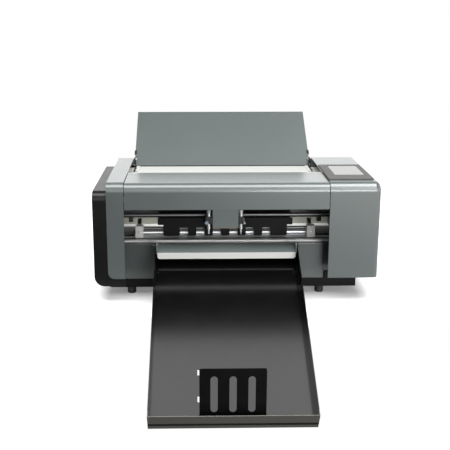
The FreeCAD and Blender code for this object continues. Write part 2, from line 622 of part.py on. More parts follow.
def comb_guide():
    """Black plate with fingers that hold the sheet flat, folded back and up to the beam."""
    wall, slot_half = S.comb_wall, S.comb_slot / 2
    front, back = S.comb_y, S.comb_y + S.comb_wall
    piece = Piece("comb_guide")
    piece.pad("XZ", front, back,
              polygon((-S.comb_narrow, S.comb_foot, S.comb_corner),
                      (S.comb_narrow, S.comb_foot, S.comb_corner),
                      (S.comb_narrow, S.comb_step), (S.comb_wide, S.comb_step, S.comb_corner),
                      (S.comb_wide, S.comb_top), (-S.comb_wide, S.comb_top),
                      (-S.comb_wide, S.comb_step, S.comb_corner), (-S.comb_narrow, S.comb_step)))
    middles = [side * S.comb_pitch * (step + 0.5) for step in range(3) for side in (-1, 1)]
    piece.cut("XZ", front - wall, back + wall,
              *[box(middle - slot_half, middle + slot_half, S.comb_foot - wall, S.comb_slot_top)
                for middle in middles])
    piece.soften("Fillet", S.comb_corner, lambda edge: at(edge, z=S.comb_foot)
                 and abs(edge.Length - float(wall)) < NEAR)
    shelf, web, top = S.comb_shelf_z, S.comb_web_y, S.beam_bottom + S.comb_web_rise
    wide, hang = S.comb_wide, S.beam_back
    piece.pad("XY", shelf, shelf + wall, box(-wide, wide, back, web + wall))
    piece.pad("XZ", web, web + wall, box(-wide, wide, shelf + wall, top))
    piece.pad("XY", top, top + wall, box(-wide, wide, hang, web + wall))
    piece.pad("XZ", hang, hang + wall, box(-wide, wide, top + wall, top + S.comb_tab))


def drive_roller():
    """Rubber-coated roller with its journals, below the sheet."""
    far = FRAME_HALF + S.frame_wall + S.shaft_end
    piece = Piece("drive_roller")
    piece.pad("YZ", -DRIVE_HALF, DRIVE_HALF, circle(S.roller_y, DRIVE_Z, S.drive_radius))
    piece.pad("YZ", -PULLEY_OUTER, far, circle(S.roller_y, DRIVE_Z, S.journal_radius))


def drive_bearings():
    """Plain bearing rings pressed into the side frames."""
    piece = Piece("drive_bearings")
    piece.pad("YZ", FRAME_HALF, FRAME_HALF + S.bearing_width,
              circle(S.roller_y, DRIVE_Z, S.bearing_radius),
              circle(S.roller_y, DRIVE_Z, S.journal_radius + S.shaft_fit))
    piece.mirror()


def belt_teeth(piece, plane, start, end, u, v, radius, count, wide, deep):
    """Grooves round a pulley's rim."""
    grooves = []
    for step in range(count):
        angle = 2 * math.pi * step / count
        grooves.append(circle(u + radius * math.cos(angle), v + radius * math.sin(angle), wide))
    piece.cut(plane, start, end, *grooves)


def belt_pulley(label, plane, start, end, u, v, radius, bore):
    """Toothed pulley between two flanges."""
    piece = Piece(label)
    rim = radius + S.flange_rise
    piece.pad(plane, start, start + S.flange_wall, circle(u, v, rim), circle(u, v, bore))
    piece.pad(plane, start + S.flange_wall, end - S.flange_wall, circle(u, v, radius), circle(u, v, bore))
    piece.pad(plane, end - S.flange_wall, end, circle(u, v, rim), circle(u, v, bore))
    belt_teeth(piece, plane, start + S.flange_wall, end - S.flange_wall, u, v, radius, 14,
               S.tooth_gap, S.tooth_gap)
    return piece


def feed_drive():
    """Motor, pulleys and belt that turn the drive roller, beyond the left side frame."""
    belt_pulley("drive_pulley", "YZ", -PULLEY_OUTER, -PULLEY_INNER,
                S.roller_y, DRIVE_Z, S.drive_pulley_radius, S.journal_radius)
    belt_pulley("feed_motor_pulley", "YZ", -PULLEY_OUTER, -PULLEY_INNER,
                MOTOR_Y, S.motor_z, S.motor_pulley_radius, S.motor_shaft + S.shaft_fit)
    inner = -PULLEY_INNER - S.flange_wall * 2
    outer = -PULLEY_OUTER + S.flange_wall * 2
    belt = Piece("feed_belt")
    drive, motor = S.drive_pulley_radius + S.belt_gap, S.motor_pulley_radius + S.belt_gap
    belt.pad("YZ", outer, inner,
             track((S.roller_y, DRIVE_Z, drive + S.belt_wall), (MOTOR_Y, S.motor_z, motor + S.belt_wall)),
             track((S.roller_y, DRIVE_Z, drive), (MOTOR_Y, S.motor_z, motor)))
    half = S.motor_half
    motors = Piece("stepper_motors")
    motors.pad("YZ", -FRAME_HALF, -FRAME_HALF + S.motor_length,
               box(MOTOR_Y - half, MOTOR_Y + half, S.motor_z - half, S.motor_z + half, S.motor_corner))
    motors.pad("YZ", -FRAME_HALF - S.motor_pilot, -FRAME_HALF,
               circle(MOTOR_Y, S.motor_z, S.motor_boss - S.seat_gap))
    motors.pad("YZ", -PULLEY_OUTER, -FRAME_HALF, circle(MOTOR_Y, S.motor_z, S.motor_shaft))
    return motors


def pinch_frame():
    """Arms, tie rod and white blocks that press the upper roller down and lift it."""
    arms = Piece("pinch_arms")
    arms.pad("YZ", ARM_INNER, ARM_OUTER,
             polygon((S.arm_front, S.platen_top + S.arm_rise * 2), (S.roller_y, S.sheet_level + S.arm_rise),
                     (S.pivot_y + S.arm_hub, S.pivot_z - S.arm_hub, S.arm_hub / 2),
                     (S.pivot_y + S.arm_hub, S.pivot_z + S.arm_hub, S.arm_hub / 2),
                     (S.roller_y, S.arm_top, S.arm_hub / 2), (S.arm_front, S.arm_top)),
             circle(S.pivot_y, S.pivot_z, S.pivot_radius + S.shaft_fit),
             circle(S.roller_y, PINCH_Z, S.pinch_journal + S.shaft_fit))
    arms.mirror()
    rod("pinch_tie_rod", -ARM_INNER, ARM_INNER, S.roller_y, S.tie_z, S.tie_radius)
    blocks = Piece("pinch_blocks")
    top, inner, outer = S.pinch_block_top, PINCH_BLOCK_INNER, PINCH_BLOCK_OUTER
    front, back, foot = S.pinch_block_front, S.pinch_block_back, S.platen_top + S.arm_rise
    middle = (inner + outer) / 2
    blocks.pad("XZ", front, back,
               polygon((inner, foot), (outer, foot),
                       (outer, top, S.comb_corner), (inner, top, S.comb_corner)))
    blocks.cut("XZ", front + S.pinch_wall, back + S.pinch_wall,
               box(inner + S.pinch_wall, outer - S.pinch_wall, foot - S.pinch_wall, S.arm_top))
    blocks.pad("XZ", front - S.pinch_wall / 2, front, circle(middle, S.boss_z, S.boss_radius))
    blocks.mirror()
    roller = Piece("pinch_roller")
    roller.pad("YZ", -ARM_INNER + S.running_gap, ARM_INNER - S.running_gap,
               circle(S.roller_y, PINCH_Z, S.pinch_radius))
    roller.pad("YZ", -ARM_OUTER, ARM_OUTER, circle(S.roller_y, PINCH_Z, S.pinch_journal))
    near, half, top = ARM_OUTER + S.running_gap, S.arm_hub * 1.5, S.pivot_z + S.arm_hub
    far = near + S.pivot_plate
    brackets = Piece("pinch_brackets")
    brackets.pad("YZ", near, far,
                 polygon((S.pivot_y - half, S.platen_top), (S.pivot_y + half, S.platen_top),
                         (S.pivot_y + S.arm_hub, top, S.arm_hub * 0.8),
                         (S.pivot_y - S.arm_hub, top, S.arm_hub * 0.8)))
    brackets.pad("XY", S.platen_top, S.platen_top + S.pivot_plate,
                 box(far, far + S.pivot_foot, S.pivot_y - half, S.pivot_y + half))
    brackets.pad("YZ", ARM_INNER, near, circle(S.pivot_y, S.pivot_z, S.pivot_radius))
    brackets.mirror()


# Carriage and its drive

def carriage_drive(motors):
    """Pulleys and belt that pull the carriage along, and the second of the two motors."""
    start, end = BELT_FRONT, S.belt_y + S.belt_width / 2 + S.flange_wall * 2
    belt_pulley("carriage_motor_pulley", "XZ", start, end, PULLEY_X, S.belt_z, S.pulley_radius,
                S.motor_shaft + S.shaft_fit)
    belt_pulley("idler_pulley", "XZ", start, end, -PULLEY_X, S.belt_z, S.pulley_radius,
                S.motor_shaft + S.shaft_fit)
    inside = S.pulley_radius + S.belt_gap
    belt = Piece("carriage_belt")
    belt.pad("XZ", S.belt_y - S.belt_width / 2, S.belt_y + S.belt_width / 2,
             track((-PULLEY_X, S.belt_z, inside + S.belt_wall), (PULLEY_X, S.belt_z, inside + S.belt_wall)),
             track((-PULLEY_X, S.belt_z, inside), (PULLEY_X, S.belt_z, inside)))
    half, back = S.motor_half, S.beam_back
    motors.pad("XZ", back, back + S.motor_length,
               box(PULLEY_X - half, PULLEY_X + half, S.belt_z - half, S.belt_z + half, S.motor_corner))
    motors.pad("XZ", start, back, circle(PULLEY_X, S.belt_z, S.motor_shaft))


def carriage():
    """Body on the rod, its cover, bushes and solenoids."""
    half, clear_y, clear_z = S.body_half, S.comb_y + S.comb_clear, S.comb_top + S.comb_clear
    body = Piece("carriage_body")
    body.pad("YZ", -half, half,
             polygon((S.plate_front, S.plate_foot), (S.plate_back, S.plate_foot),
                     (S.plate_back, clear_z), (clear_y, clear_z), (clear_y, S.guide_z - S.hub_radius),
                     (S.hub_back, S.guide_z - S.hub_radius, S.lip_round * 3), (S.hub_back, S.body_top),
                     (S.plate_front, S.body_top)),
             circle(S.guide_y, S.guide_z, S.bush_radius))
    clamp_low = S.belt_z - S.pulley_radius - S.belt_gap - S.belt_wall
    body.pad("XZ", S.plate_front, S.plate_back,
             box(-S.clamp_half, S.clamp_half, S.body_top, clamp_low - S.seat_gap))
    for low, high in ((half, half + S.rail_reach), (-half - S.rail_reach, -half)):
        body.pad("XY", S.rail_foot, S.rail_top, box(low, high, S.rail_y, S.rail_y + S.rail_width))
    bushes = Piece("carriage_bushes")
    for low, high in ((-half, -half + S.bush_length), (half - S.bush_length, half)):
        bushes.pad("YZ", low, high, circle(S.guide_y, S.guide_z, S.bush_radius),
                   circle(S.guide_y, S.guide_z, S.guide_radius + S.shaft_fit))
    wall = S.cover_wall
    cover = Piece("carriage_cover")
    cover.pad("XZ", S.hood_front, S.hood_back,
              box(-S.hood_half, S.hood_half, S.hood_foot, S.hood_top, S.lip_round * 2))
    cover.cut("XZ", S.hood_front + wall, S.hood_back + wall,
              box(-S.hood_half + wall, S.hood_half - wall, S.hood_foot + wall, S.hood_top - wall))
    coils = Piece("solenoids")
    for side in (-1, 1):
        low, high = sorted((side * S.coil_near, side * S.coil_far), key=float)
        coils.pad("XZ", S.coil_front, S.plate_front, box(low, high, S.coil_foot, S.coil_top))
        coils.pad("XY", S.coil_foot - S.plunger_drop, S.coil_foot,
                  circle((low + high) / 2, (S.coil_front + S.plate_front) / 2, S.plunger_radius))


def tool_slider(label, side, tool_x, reach):
    """Block that slides down a rail beside the carriage body and grips one tool."""
    near, far, gap = S.body_half + S.running_gap, tool_x + reach, S.running_gap
    groove = S.body_half + S.rail_reach + gap
    low, high = (near, far) if side > 0 else (-far, -near)
    piece = Piece(label)
    piece.pad("XY", S.slider_foot, S.slider_top,
              box(low, high, S.slider_front, S.slider_back, S.lip_round),
              circle(side * tool_x, S.tool_y, S.tool_radius))
    low, high = (S.body_half, groove) if side > 0 else (-groove, -S.body_half)
    piece.cut("XY", S.slider_foot - gap, S.slider_top + gap,
              box(low, high, S.rail_y - gap, S.rail_y + S.rail_width + gap))
    return piece


def tool_barrel(label, x):
    """Round barrel with a collar above the slider and a narrow nose below it."""
    piece = Piece(label)
    piece.pad("XY", S.body_foot, S.tool_top, circle(x, S.tool_y, S.tool_radius))
    piece.pad("XY", S.slider_top, S.slider_top + S.collar,
              circle(x, S.tool_y, S.tool_radius + S.collar_rise))
    return piece


def tools():
    """Blade holder on the right, creasing tool on the left, with what clamps them."""
    hole, gap = S.stem_radius + S.shaft_fit, S.running_gap
    side = S.blade_x + S.blade_reach
    slider = tool_slider("blade_slider", 1, S.blade_x, S.blade_reach)
    slider.cut("YZ", side - S.stem, side + gap, circle(S.lever_y, S.lever_z, hole))
    slider = tool_slider("crease_slider", -1, S.crease_x, S.crease_reach)
    knob_x = S.crease_x + S.knob_out
    slider.cut("XZ", S.slider_front - gap, S.slider_front + S.stem, circle(-knob_x, S.knob_z, hole))
    holder = tool_barrel("blade_holder", S.blade_x)
    holder.pad("XY", S.tool_foot, S.body_foot, circle(S.blade_x, S.tool_y, S.nose_radius))
    blade = Piece("blade")
    blade.pad("XZ", S.tool_y - S.blade_half, S.tool_y + S.blade_half,
              polygon((S.blade_x, S.blade_tip), (S.blade_x + S.blade_width, S.blade_tip + S.blade_width),
                      (S.blade_x + S.blade_width, S.tool_foot), (S.blade_x - S.blade_half, S.tool_foot),
                      (S.blade_x - S.blade_half, S.blade_tip)))
    crease = tool_barrel("crease_tool", -S.crease_x)
    crease.pad("XY", S.crease_tip, S.body_foot, circle(-S.crease_x, S.tool_y, S.nose_radius))
    crease.soften("Fillet", S.nose_radius * 0.9, lambda edge: at(edge, z=S.crease_tip))
    knob = Piece("clamp_knob")
    back = S.slider_front - gap
    knob.pad("XZ", back - S.knob_length, back, circle(-knob_x, S.knob_z, S.knob_radius))
    knob.pad("XZ", back, S.slider_front + S.stem - gap, circle(-knob_x, S.knob_z, S.stem_radius))
    angles = [math.pi * step / 4 for step in range(8)]
    grips = [circle(-knob_x + S.knob_radius * math.cos(angle), S.knob_z + S.knob_radius * math.sin(angle),
                    S.knob_grip) for angle in angles]
    knob.cut("XZ", back - S.knob_length, back, *grips)
    lever = Piece("clamp_lever")
    start = side + gap
    tip = (S.lever_y - S.lever_reach, S.lever_z - S.lever_drop, S.lever_hub * 0.7)
    lever.pad("YZ", start, start + S.lever_wall, track((S.lever_y, S.lever_z, S.lever_hub), tip))
    lever.pad("YZ", start + S.lever_wall, start + S.lever_wall * 2, circle(*tip))
    lever.pad("YZ", side - S.stem + gap, start, circle(S.lever_y, S.lever_z, S.stem_radius))


# Exit chute and catch tray

def exit_chute():
    """Sloping plate that hands the sheets to the tray, with an ear at each side for a pivot pin."""
    wall, back = S.chute_wall, S.base_front - S.seat_gap / 3
    piece = Piece("exit_chute")
    piece.pad("YZ", -S.chute_half, S.chute_half,
              polygon((S.chute_front, S.chute_low), (S.chute_front, S.chute_low - wall),
                      (back - wall, S.chute_high - wall * 1.5), (back - wall, S.chute_foot),
                      (back, S.chute_foot), (back, S.chute_high)))
    ear = polygon((S.pivot_front - S.tray_ear, S.chute_low - wall), (back, S.chute_foot),
                  (back, S.chute_high + wall), (S.pivot_front + S.tray_ear * 2, S.ear_top, S.tray_ear),
                  (S.pivot_front - S.tray_ear, S.ear_top, S.tray_ear * 0.8))
    for near in (S.chute_half - wall, -S.chute_half):
        piece.pad("YZ", near, near + wall, ear, circle(S.pivot_front, S.pivot_height, S.pin_radius))


def exit_trim():
    """White strip on the chute's front edge."""
    piece = Piece("exit_trim")
    piece.pad("XZ", S.chute_front - S.trim_wall, S.chute_front,
              polygon((-S.trim_half, S.trim_bottom, S.trim_corner),
                      (S.trim_half, S.trim_bottom, S.trim_corner),
                      (S.trim_half, S.chute_low), (-S.trim_half, S.chute_low)))


def tray_pins():
    """Two headed pins that the catch tray hangs on."""
    piece = Piece("tray_pins")
    head = S.tray_half + S.head_gap
    piece.pad("YZ", S.chute_half - S.chute_wall, head, circle(S.pivot_front, S.pivot_height, S.pin_radius))
    piece.pad("YZ", head, head + S.head_wall, circle(S.pivot_front, S.pivot_height, S.pin_head))
    piece.mirror()


def catch_tray():
    """Black folded tray, drawn about its pivot with its floor level, then tilted to its slope."""
    wall, floor, reach = S.tray_wall, -S.tray_drop, -S.tray_reach
    top = floor + S.tray_side
    piece = Piece("catch_tray")
    piece.pad("XY", floor, floor + wall, box(-S.tray_half, S.tray_half, reach, S.tray_back))
    for distance in (S.slot_set_first, S.slot_set_second, S.slot_set_third):
        middle = S.tray_reach - distance
        for near in (S.tray_slot_x, -S.tray_slot_x - S.tray_slot_width):
            piece.cut("XY", floor - wall, floor + wall * 2,
                      box(near, near + S.tray_slot_width, -middle - S.tray_slot_length / 2,
                          -middle + S.tray_slot_length / 2))
    piece.pad("XZ", reach, reach + wall, box(-S.tray_half, S.tray_half, floor, top))
    ear, hole = S.tray_ear, S.pin_radius + S.pin_fit
    hanger = polygon((reach, floor), (S.tray_back, floor), (S.tray_heel, floor + S.heel_rise),
                     (ear, -hole), (ear, ear, ear * 0.9), (-ear, ear, ear * 0.9), (-ear * 2, top),
                     (reach, top, wall))
    for near in (S.tray_half - wall, -S.tray_half):
        piece.pad("YZ", near, near + wall, hanger, circle(0, 0, hole))
    piece.place(0, S.pivot_front, S.pivot_height, S.tray_slope)


def stop_plate():
    """Upright plate with three slots, plugged into the tray's floor by two folded flanges."""
    wall, half, front = S.stop_wall, S.stop_half, S.stop_y
    piece = Piece("stop_plate")
    piece.pad("XZ", front - wall, front,
              polygon((-half, S.stop_foot), (half, S.stop_foot), (half, S.stop_top, S.stop_corner),
                      (-half, S.stop_top, S.stop_corner)),
              *[track((S.stop_slot_pitch * step, S.stop_slot_low, S.stop_slot),
                      (S.stop_slot_pitch * step, S.stop_slot_high, S.stop_slot)) for step in (-1, 0, 1)])
    tab_foot = S.stop_foot - S.stop_tab
    flange = polygon((front - wall, S.stop_foot), (front + wall / 3, S.stop_foot),
                     (front + wall / 3, tab_foot), (front + S.stop_tab_width, tab_foot),
                     (front + S.stop_tab_width, S.stop_foot + S.stop_heel),
                     (front + S.stop_flange, S.stop_foot + S.stop_heel),
                     (front + S.stop_flange, S.stop_top - S.stop_corner, S.stop_corner),
                     (front - wall, S.stop_top - S.stop_corner))
    for near in (half - wall, -half):
        piece.pad("YZ", near, near + wall, flange)


# Sheet inlet and rear support

def feed_shelf():
    """Level shelf behind the cover, folded down into the slope that leads the sheet to the bed."""
    wall, level, back = S.shelf_wall, S.shelf_level, SHELF_BACK
    piece = Piece("feed_shelf")
    piece.pad("YZ", -SPAN_HALF, SPAN_HALF,
              polygon((SLOPE_FOOT_Y, S.guide_foot_z), (SLOPE_FOOT_Y + wall, S.guide_foot_z),
                      (SHELF_FRONT + wall * 0.75, level - wall, S.shelf_fold - wall),
                      (back - wall, level - wall),
                      (back - wall, level - S.shelf_hem), (back, level - S.shelf_hem), (back, level),
                      (SHELF_FRONT, level, S.shelf_fold)))
    notch = S.housing_depth - S.housing_wall * 2
    piece.cut("XY", level - S.shelf_hem - wall, level + wall,
              box(COVER_HALF, SPAN_HALF + wall, notch, back + wall),
              box(-SPAN_HALF - wall, -COVER_HALF, notch, back + wall))


def feed_roller():
    """Pick-up shaft with two rubber tyres."""
    far = FRAME_HALF + S.frame_wall
    rod("feed_shaft", -far, far, FEED_Y, S.feed_z, S.feed_shaft_radius)
    tyres = Piece("feed_tyres")
    tyres.pad("YZ", S.feed_tyre_x, S.feed_tyre_x + S.feed_tyre_width,
              circle(FEED_Y, S.feed_z, S.feed_radius), circle(FEED_Y, S.feed_z, S.feed_shaft_radius))
    tyres.mirror()
    tyres.soften("Chamfer", S.tyre_edge, lambda edge: edge.Curve.TypeId == "Part::GeomCircle"
                 and edge.Curve.Radius > float(S.feed_radius) - NEAR)


def rear_brackets():
    """Brackets on the shelf that carry the support plate's pivot pins."""
    inner, wall = BRACKET_X, S.bracket_sheet
    hinge_y, hinge_z, hub = HINGE_Y, S.hinge_z, S.hinge_hub
    level = S.shelf_level
    piece = Piece("rear_brackets")
    piece.pad("YZ", inner, inner + wall,
              polygon((BRACKET_START, level), (SHELF_BACK, level), (SHELF_BACK + wall, hinge_z - hub),
                      (hinge_y + hub, hinge_z - hub, hub * 0.9), (hinge_y + hub, hinge_z + hub, hub * 0.9),
                      (SHELF_BACK + wall, hinge_z + hub), (EAR_BACK, S.bracket_top, wall),
                      (EAR_BACK - S.ear_width, S.bracket_top, wall),
                      (EAR_BACK - S.ear_width, level + wall * 2), (BRACKET_START, level + wall)))
    piece.pad("XY", level, level + wall,
              box(inner - S.bracket_foot, inner, BRACKET_START, EAR_BACK))
    piece.pad("YZ", inner + wall, SUPPORT_HALF + wall, circle(hinge_y, hinge_z, S.pin_radius))
    piece.mirror()


def bracket_screws():
    """Screws that hold the brackets to the shelf."""
    piece = Piece("bracket_screws")
    spots = [circle(BRACKET_X - S.bracket_foot / 2, y, S.screw_radius)
             for y in (BRACKET_START + S.screw_set, BRACKET_START + S.screw_set + S.screw_pitch)]
    base = S.shelf_level + S.bracket_sheet
    piece.pad("XY", base, base + S.screw_head, *spots)
    piece.mirror()
    piece.soften("Fillet", S.screw_head * 0.6, lambda edge: at(edge, z=base + S.screw_head))


def rear_support():
    """Sloping plate for the blank sheets, drawn about its hinge and then tilted."""
    wall, half, rise = S.support_wall, SUPPORT_HALF, S.hinge_drop
    start, end = S.support_start, S.support_start + S.support_length
    notch = half - S.support_notch
    piece = Piece("rear_support")
    piece.pad("XY", rise, rise + wall,
              polygon((-notch, start), (notch, start), (notch, start + S.notch_length),
                      (half, start + S.notch_length), (half, end, wall), (-half, end, wall),
                      (-half, start + S.notch_length), (-notch, start + S.notch_length)))
    piece.pad("XY", rise - S.support_lip, rise, box(-notch, notch, start, start + wall))
    hub = S.hinge_hub
    flange = polygon((-hub, -hub, hub * 0.9), (hub, -hub, hub * 0.9),
                     (S.notch_length, rise - S.support_flange), (end, rise - S.support_flange, wall),
                     (end, rise + wall), (-hub, rise + wall))
    for near in (half - wall, -half):
        piece.pad("YZ", near, near + wall, flange, circle(0, 0, S.pin_radius + S.pin_fit))
    piece.place(0, HINGE_Y, S.hinge_z, S.support_slope)


def support_clips():
    """Black clips over the support plate's side edges."""
    wall, half, rise = S.clip_wall, SUPPORT_HALF, S.hinge_drop + S.support_wall
    piece = Piece("support_clips")
    piece.pad("XZ", S.clip_start, S.clip_start + S.clip_length,
              polygon((half - S.clip_reach, rise), (half, rise), (half, rise - S.clip_drop),
                      (half + wall, rise - S.clip_drop), (half + wall, rise + wall, wall / 2),
                      (half - S.clip_reach, rise + wall, wall / 2)))
    piece.mirror()
    piece.place(0, HINGE_Y, S.hinge_z, S.support_slope)


# Screen, electronics and rear connections

def touch_screen():
    """Raised bezel on the right housing with a pale glass set into it."""
    top = S.housing_top + S.bezel_height
    bezel = Piece("screen_bezel")
    bezel.pad("XY", S.housing_top, top,
              box(S.throat_half, BEZEL_RIGHT, S.bezel_front, S.bezel_back, S.bezel_corner))
    glass = (GLASS_LEFT, GLASS_RIGHT, S.glass_front, S.glass_back)
    bezel.cut("XY", top - S.glass_depth, top + S.glass_depth, box(*glass))
    bezel.soften("Chamfer", S.bezel_edge, lambda edge: at(edge, z=top) and (
        edge.BoundBox.XMax > float(GLASS_RIGHT) + NEAR or edge.BoundBox.XMin < float(GLASS_LEFT) - NEAR))
    screen = Piece("touch_screen")
    gap = S.seat_gap / 2
    screen.pad("XY", top - S.glass_depth, top - S.glass_sunk,
               box(GLASS_LEFT + gap, GLASS_RIGHT - gap, S.glass_front + gap, S.glass_back - gap))


def electronics():
    """Control board on the right side frame and power supply in the pan."""
    far = FRAME_HALF + S.frame_wall
    board = Piece("circuit_board")
    board.pad("YZ", far + S.standoff, far + S.standoff + S.board_wall,
              box(S.board_front, S.board_back, S.board_low, S.board_high, S.lip_round))
    corners = [circle(y, z, S.standoff_radius)
               for y in (S.board_front + S.standoff * 2, S.board_back - S.standoff * 2)
               for z in (S.board_low + S.standoff * 2, S.board_high - S.standoff * 2)]
    board.pad("YZ", far, far + S.standoff, *corners)
    face = far + S.standoff + S.board_wall
    chips = [box(S.board_front + S.chip_pitch * i + S.standoff * 2,
                 S.board_front + S.chip_pitch * i + S.chip_size + S.standoff * 2,
                 S.board_low + S.chip_rise, S.board_low + S.chip_rise + S.chip_size) for i in range(4)]
    board.pad("YZ", face, face + S.chip_wall, *chips)
    floor = S.base_bottom + S.base_wall
    supply = Piece("power_supply")
    supply.pad("XY", floor, floor + S.supply_height,
               box(S.supply_left, S.supply_left + S.supply_width, S.supply_front,
                   S.supply_front + S.supply_depth, S.lip_round))


def rear_connections():
    """Mains inlet, switch frame and data port in the right housing's rear wall, and the rocker."""
    back, wall = S.housing_depth, S.flange_plate
    inlet = Piece("rear_sockets")
    half_w, half_h = S.inlet_width / 2, S.inlet_height / 2
    x, z, rim = INLET_X, S.inlet_z, S.inlet_rim
    inlet.pad("XZ", back, back + wall,
              box(x - half_w - rim, x + half_w + rim, z - half_h - rim, z + half_h + rim, rim))
    fit = S.running_gap
    inlet.pad("XZ", back - S.inlet_depth, back,
              box(x - half_w + fit, x + half_w - fit, z - half_h + fit, z + half_h - fit))
    inlet.cut("XZ", back - S.inlet_depth + wall, back + wall * 2,
              box(x - half_w + rim, x + half_w - rim, z - half_h + rim, z + half_h - rim, rim / 2))
    pins = [box(x + S.inlet_pitch * step - S.blade_pin / 4, x + S.inlet_pitch * step + S.blade_pin / 4,
                z + rise - S.blade_pin, z + rise + S.blade_pin)
            for step, rise in ((-1, -S.blade_pin / 2), (0, S.blade_pin / 2), (1, -S.blade_pin / 2))]
    inlet.pad("XZ", back - S.inlet_depth + wall, back - wall, *pins)
    x, half_w, half_h = SWITCH_X, S.switch_width / 2, S.switch_height / 2
    inlet.pad("XZ", back, back + wall,
              box(x - half_w - rim, x + half_w + rim, z - half_h - rim, z + half_h + rim, rim))
    inlet.pad("XZ", back - S.switch_depth, back,
              box(x - half_w + fit, x + half_w - fit, z - half_h + fit, z + half_h - fit))
    inlet.cut("XZ", back - S.switch_depth + wall, back + wall * 2,
              box(x - half_w + rim, x + half_w - rim, z - half_h + rim, z + half_h - rim))
    rocker = Piece("power_switch")
    room = rim + S.rocker_gap
    tilt, proud = S.rocker_tilt, back + wall
    rocker.pad("YZ", x - half_w + room, x + half_w - room,
               polygon((proud + tilt / 2, z), (proud + tilt, z - half_h + room + tilt),
                       (proud - S.rocker_root, z - half_h + room + tilt), (back - S.rocker_root * 2, z),
                       (proud - S.rocker_root, z + half_h - room - tilt),
                       (proud - tilt / 3, z + half_h - room - tilt)))
    pivot = back - S.rocker_pivot
    rocker.pad("YZ", x - half_w + room, x + half_w - room, circle(pivot, z, S.rocker_hub))
    x, z, half_w, half_h = PORT_X, S.port_z, S.port_width / 2, S.port_height / 2
    inlet.pad("XZ", back - S.port_depth, back + wall / 2,
             box(x - half_w + fit, x + half_w - fit, z - half_h + fit, z + half_h - fit))
    inlet.cut("XZ", back - S.port_depth + wall, back + wall,
             box(x - half_w + fit + wall / 2, x + half_w - fit - wall / 2,
                 z - half_h + fit + wall / 2, z + half_h - fit - wall / 2))


def build_all():
    left_housing()
    left_cap()
    right_housing()
    top_cover()
    base_pan()
    feet()
    front_panel()
    rear_panel()
    side_frame("side_frame_left", -1)
    side_frame("side_frame_right", 1)
    platen()
    platen_lip()
    rear_inner_wall()
    carriage_beam()
    guide_rod()
    rod_end_blocks()
    comb_guide()
    drive_roller()
    drive_bearings()
    carriage_drive(feed_drive())
    pinch_frame()
    carriage()
    tools()
    exit_chute()
    exit_trim()
    tray_pins()
    catch_tray()
    stop_plate()
    feed_shelf()
    feed_roller()
    rear_brackets()
    bracket_screws()
    rear_support()
    support_clips()
    touch_screen()
    electronics()
    rear_connections()


def faults():
    """Name every object that did not come out and every sub-part without a sound shape."""
    names = [item.Label for item in doc.Objects if {"Invalid", "Error"} & set(item.State)]
    names += [body.Label for body in Piece.pieces
              if body.Shape.isNull() or not body.Shape.isValid() or not body.Shape.Solids]
    return names


build_all()
doc.recompute()
if faults():
    raise RuntimeError("Not built: " + ", ".join(faults()))
for body in Piece.pieces:
    body.Shape.exportStep(f"parts/{body.Label}.step")
    print(body.Label, len(body.Shape.Solids), round(body.Shape.Volume))
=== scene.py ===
"""Looks of a desktop cutting plotter: its finishes, small fittings, stage, lights and camera."""
import math

import bpy
from mathutils import Matrix, Vector

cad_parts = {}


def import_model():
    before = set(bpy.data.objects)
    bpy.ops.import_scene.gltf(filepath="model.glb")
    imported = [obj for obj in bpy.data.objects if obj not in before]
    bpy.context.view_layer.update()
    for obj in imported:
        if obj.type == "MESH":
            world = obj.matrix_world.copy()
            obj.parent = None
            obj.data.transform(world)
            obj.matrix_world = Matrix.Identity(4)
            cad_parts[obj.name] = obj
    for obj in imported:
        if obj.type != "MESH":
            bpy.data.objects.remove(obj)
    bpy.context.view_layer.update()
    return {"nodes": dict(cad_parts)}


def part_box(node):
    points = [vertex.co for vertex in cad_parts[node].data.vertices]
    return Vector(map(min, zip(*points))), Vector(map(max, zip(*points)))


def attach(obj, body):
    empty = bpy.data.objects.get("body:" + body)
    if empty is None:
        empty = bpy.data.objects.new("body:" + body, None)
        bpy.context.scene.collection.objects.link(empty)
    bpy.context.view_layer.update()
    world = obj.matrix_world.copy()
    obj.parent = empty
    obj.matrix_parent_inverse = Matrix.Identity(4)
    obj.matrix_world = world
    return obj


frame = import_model()
nodes = frame["nodes"]
MM = 0.001


# Finishes

class Signal:
    """A shader socket that can be used in plain arithmetic."""

    def __init__(self, net, socket):
        self.net = net
        self.socket = socket

    def apply(self, operation, first, second=0.0):
        return self.net.node("ShaderNodeMath", {"operation": operation}, {0: first, 1: second})

    def __add__(self, other):
        return self.apply("ADD", self, other)

    __radd__ = __add__

    def __sub__(self, other):
        return self.apply("SUBTRACT", self, other)

    def __rsub__(self, other):
        return self.apply("SUBTRACT", other, self)

    def __mul__(self, other):
        return self.apply("MULTIPLY", self, other)

    __rmul__ = __mul__

    def __gt__(self, other):
        return self.apply("GREATER_THAN", self, other)

    def __lt__(self, other):
        return self.apply("LESS_THAN", self, other)

    def __abs__(self):
        return self.apply("ABSOLUTE", self)

    def wave(self):
        """Sine of the signal."""
        return self.apply("SINE", self)

    def clear(self):
        """The signal held between nothing and one."""
        return self.net.node("ShaderNodeClamp", {}, {"Value": self})


class Net:
    """A node tree that takes numbers and signals alike."""

    def __init__(self, tree):
        self.tree = tree

    def node(self, kind, settings, inputs, output=0):
        made = self.tree.nodes.new(kind)
        for key, value in settings.items():
            setattr(made, key, value)
        for key, value in inputs.items():
            self.feed(made.inputs[key], value)
        return Signal(self, made.outputs[output])

    def feed(self, socket, value):
        if isinstance(value, Signal):
            self.tree.links.new(value.socket, socket)
        else:
            socket.default_value = value

    def split(self, kind):
        """The three parts of a texture coordinate."""
        spot = self.node("ShaderNodeTexCoord", {}, {}, kind)
        parts = self.node("ShaderNodeSeparateXYZ", {}, {0: spot}).socket.node
        return [Signal(self, parts.outputs[i]) for i in range(3)]


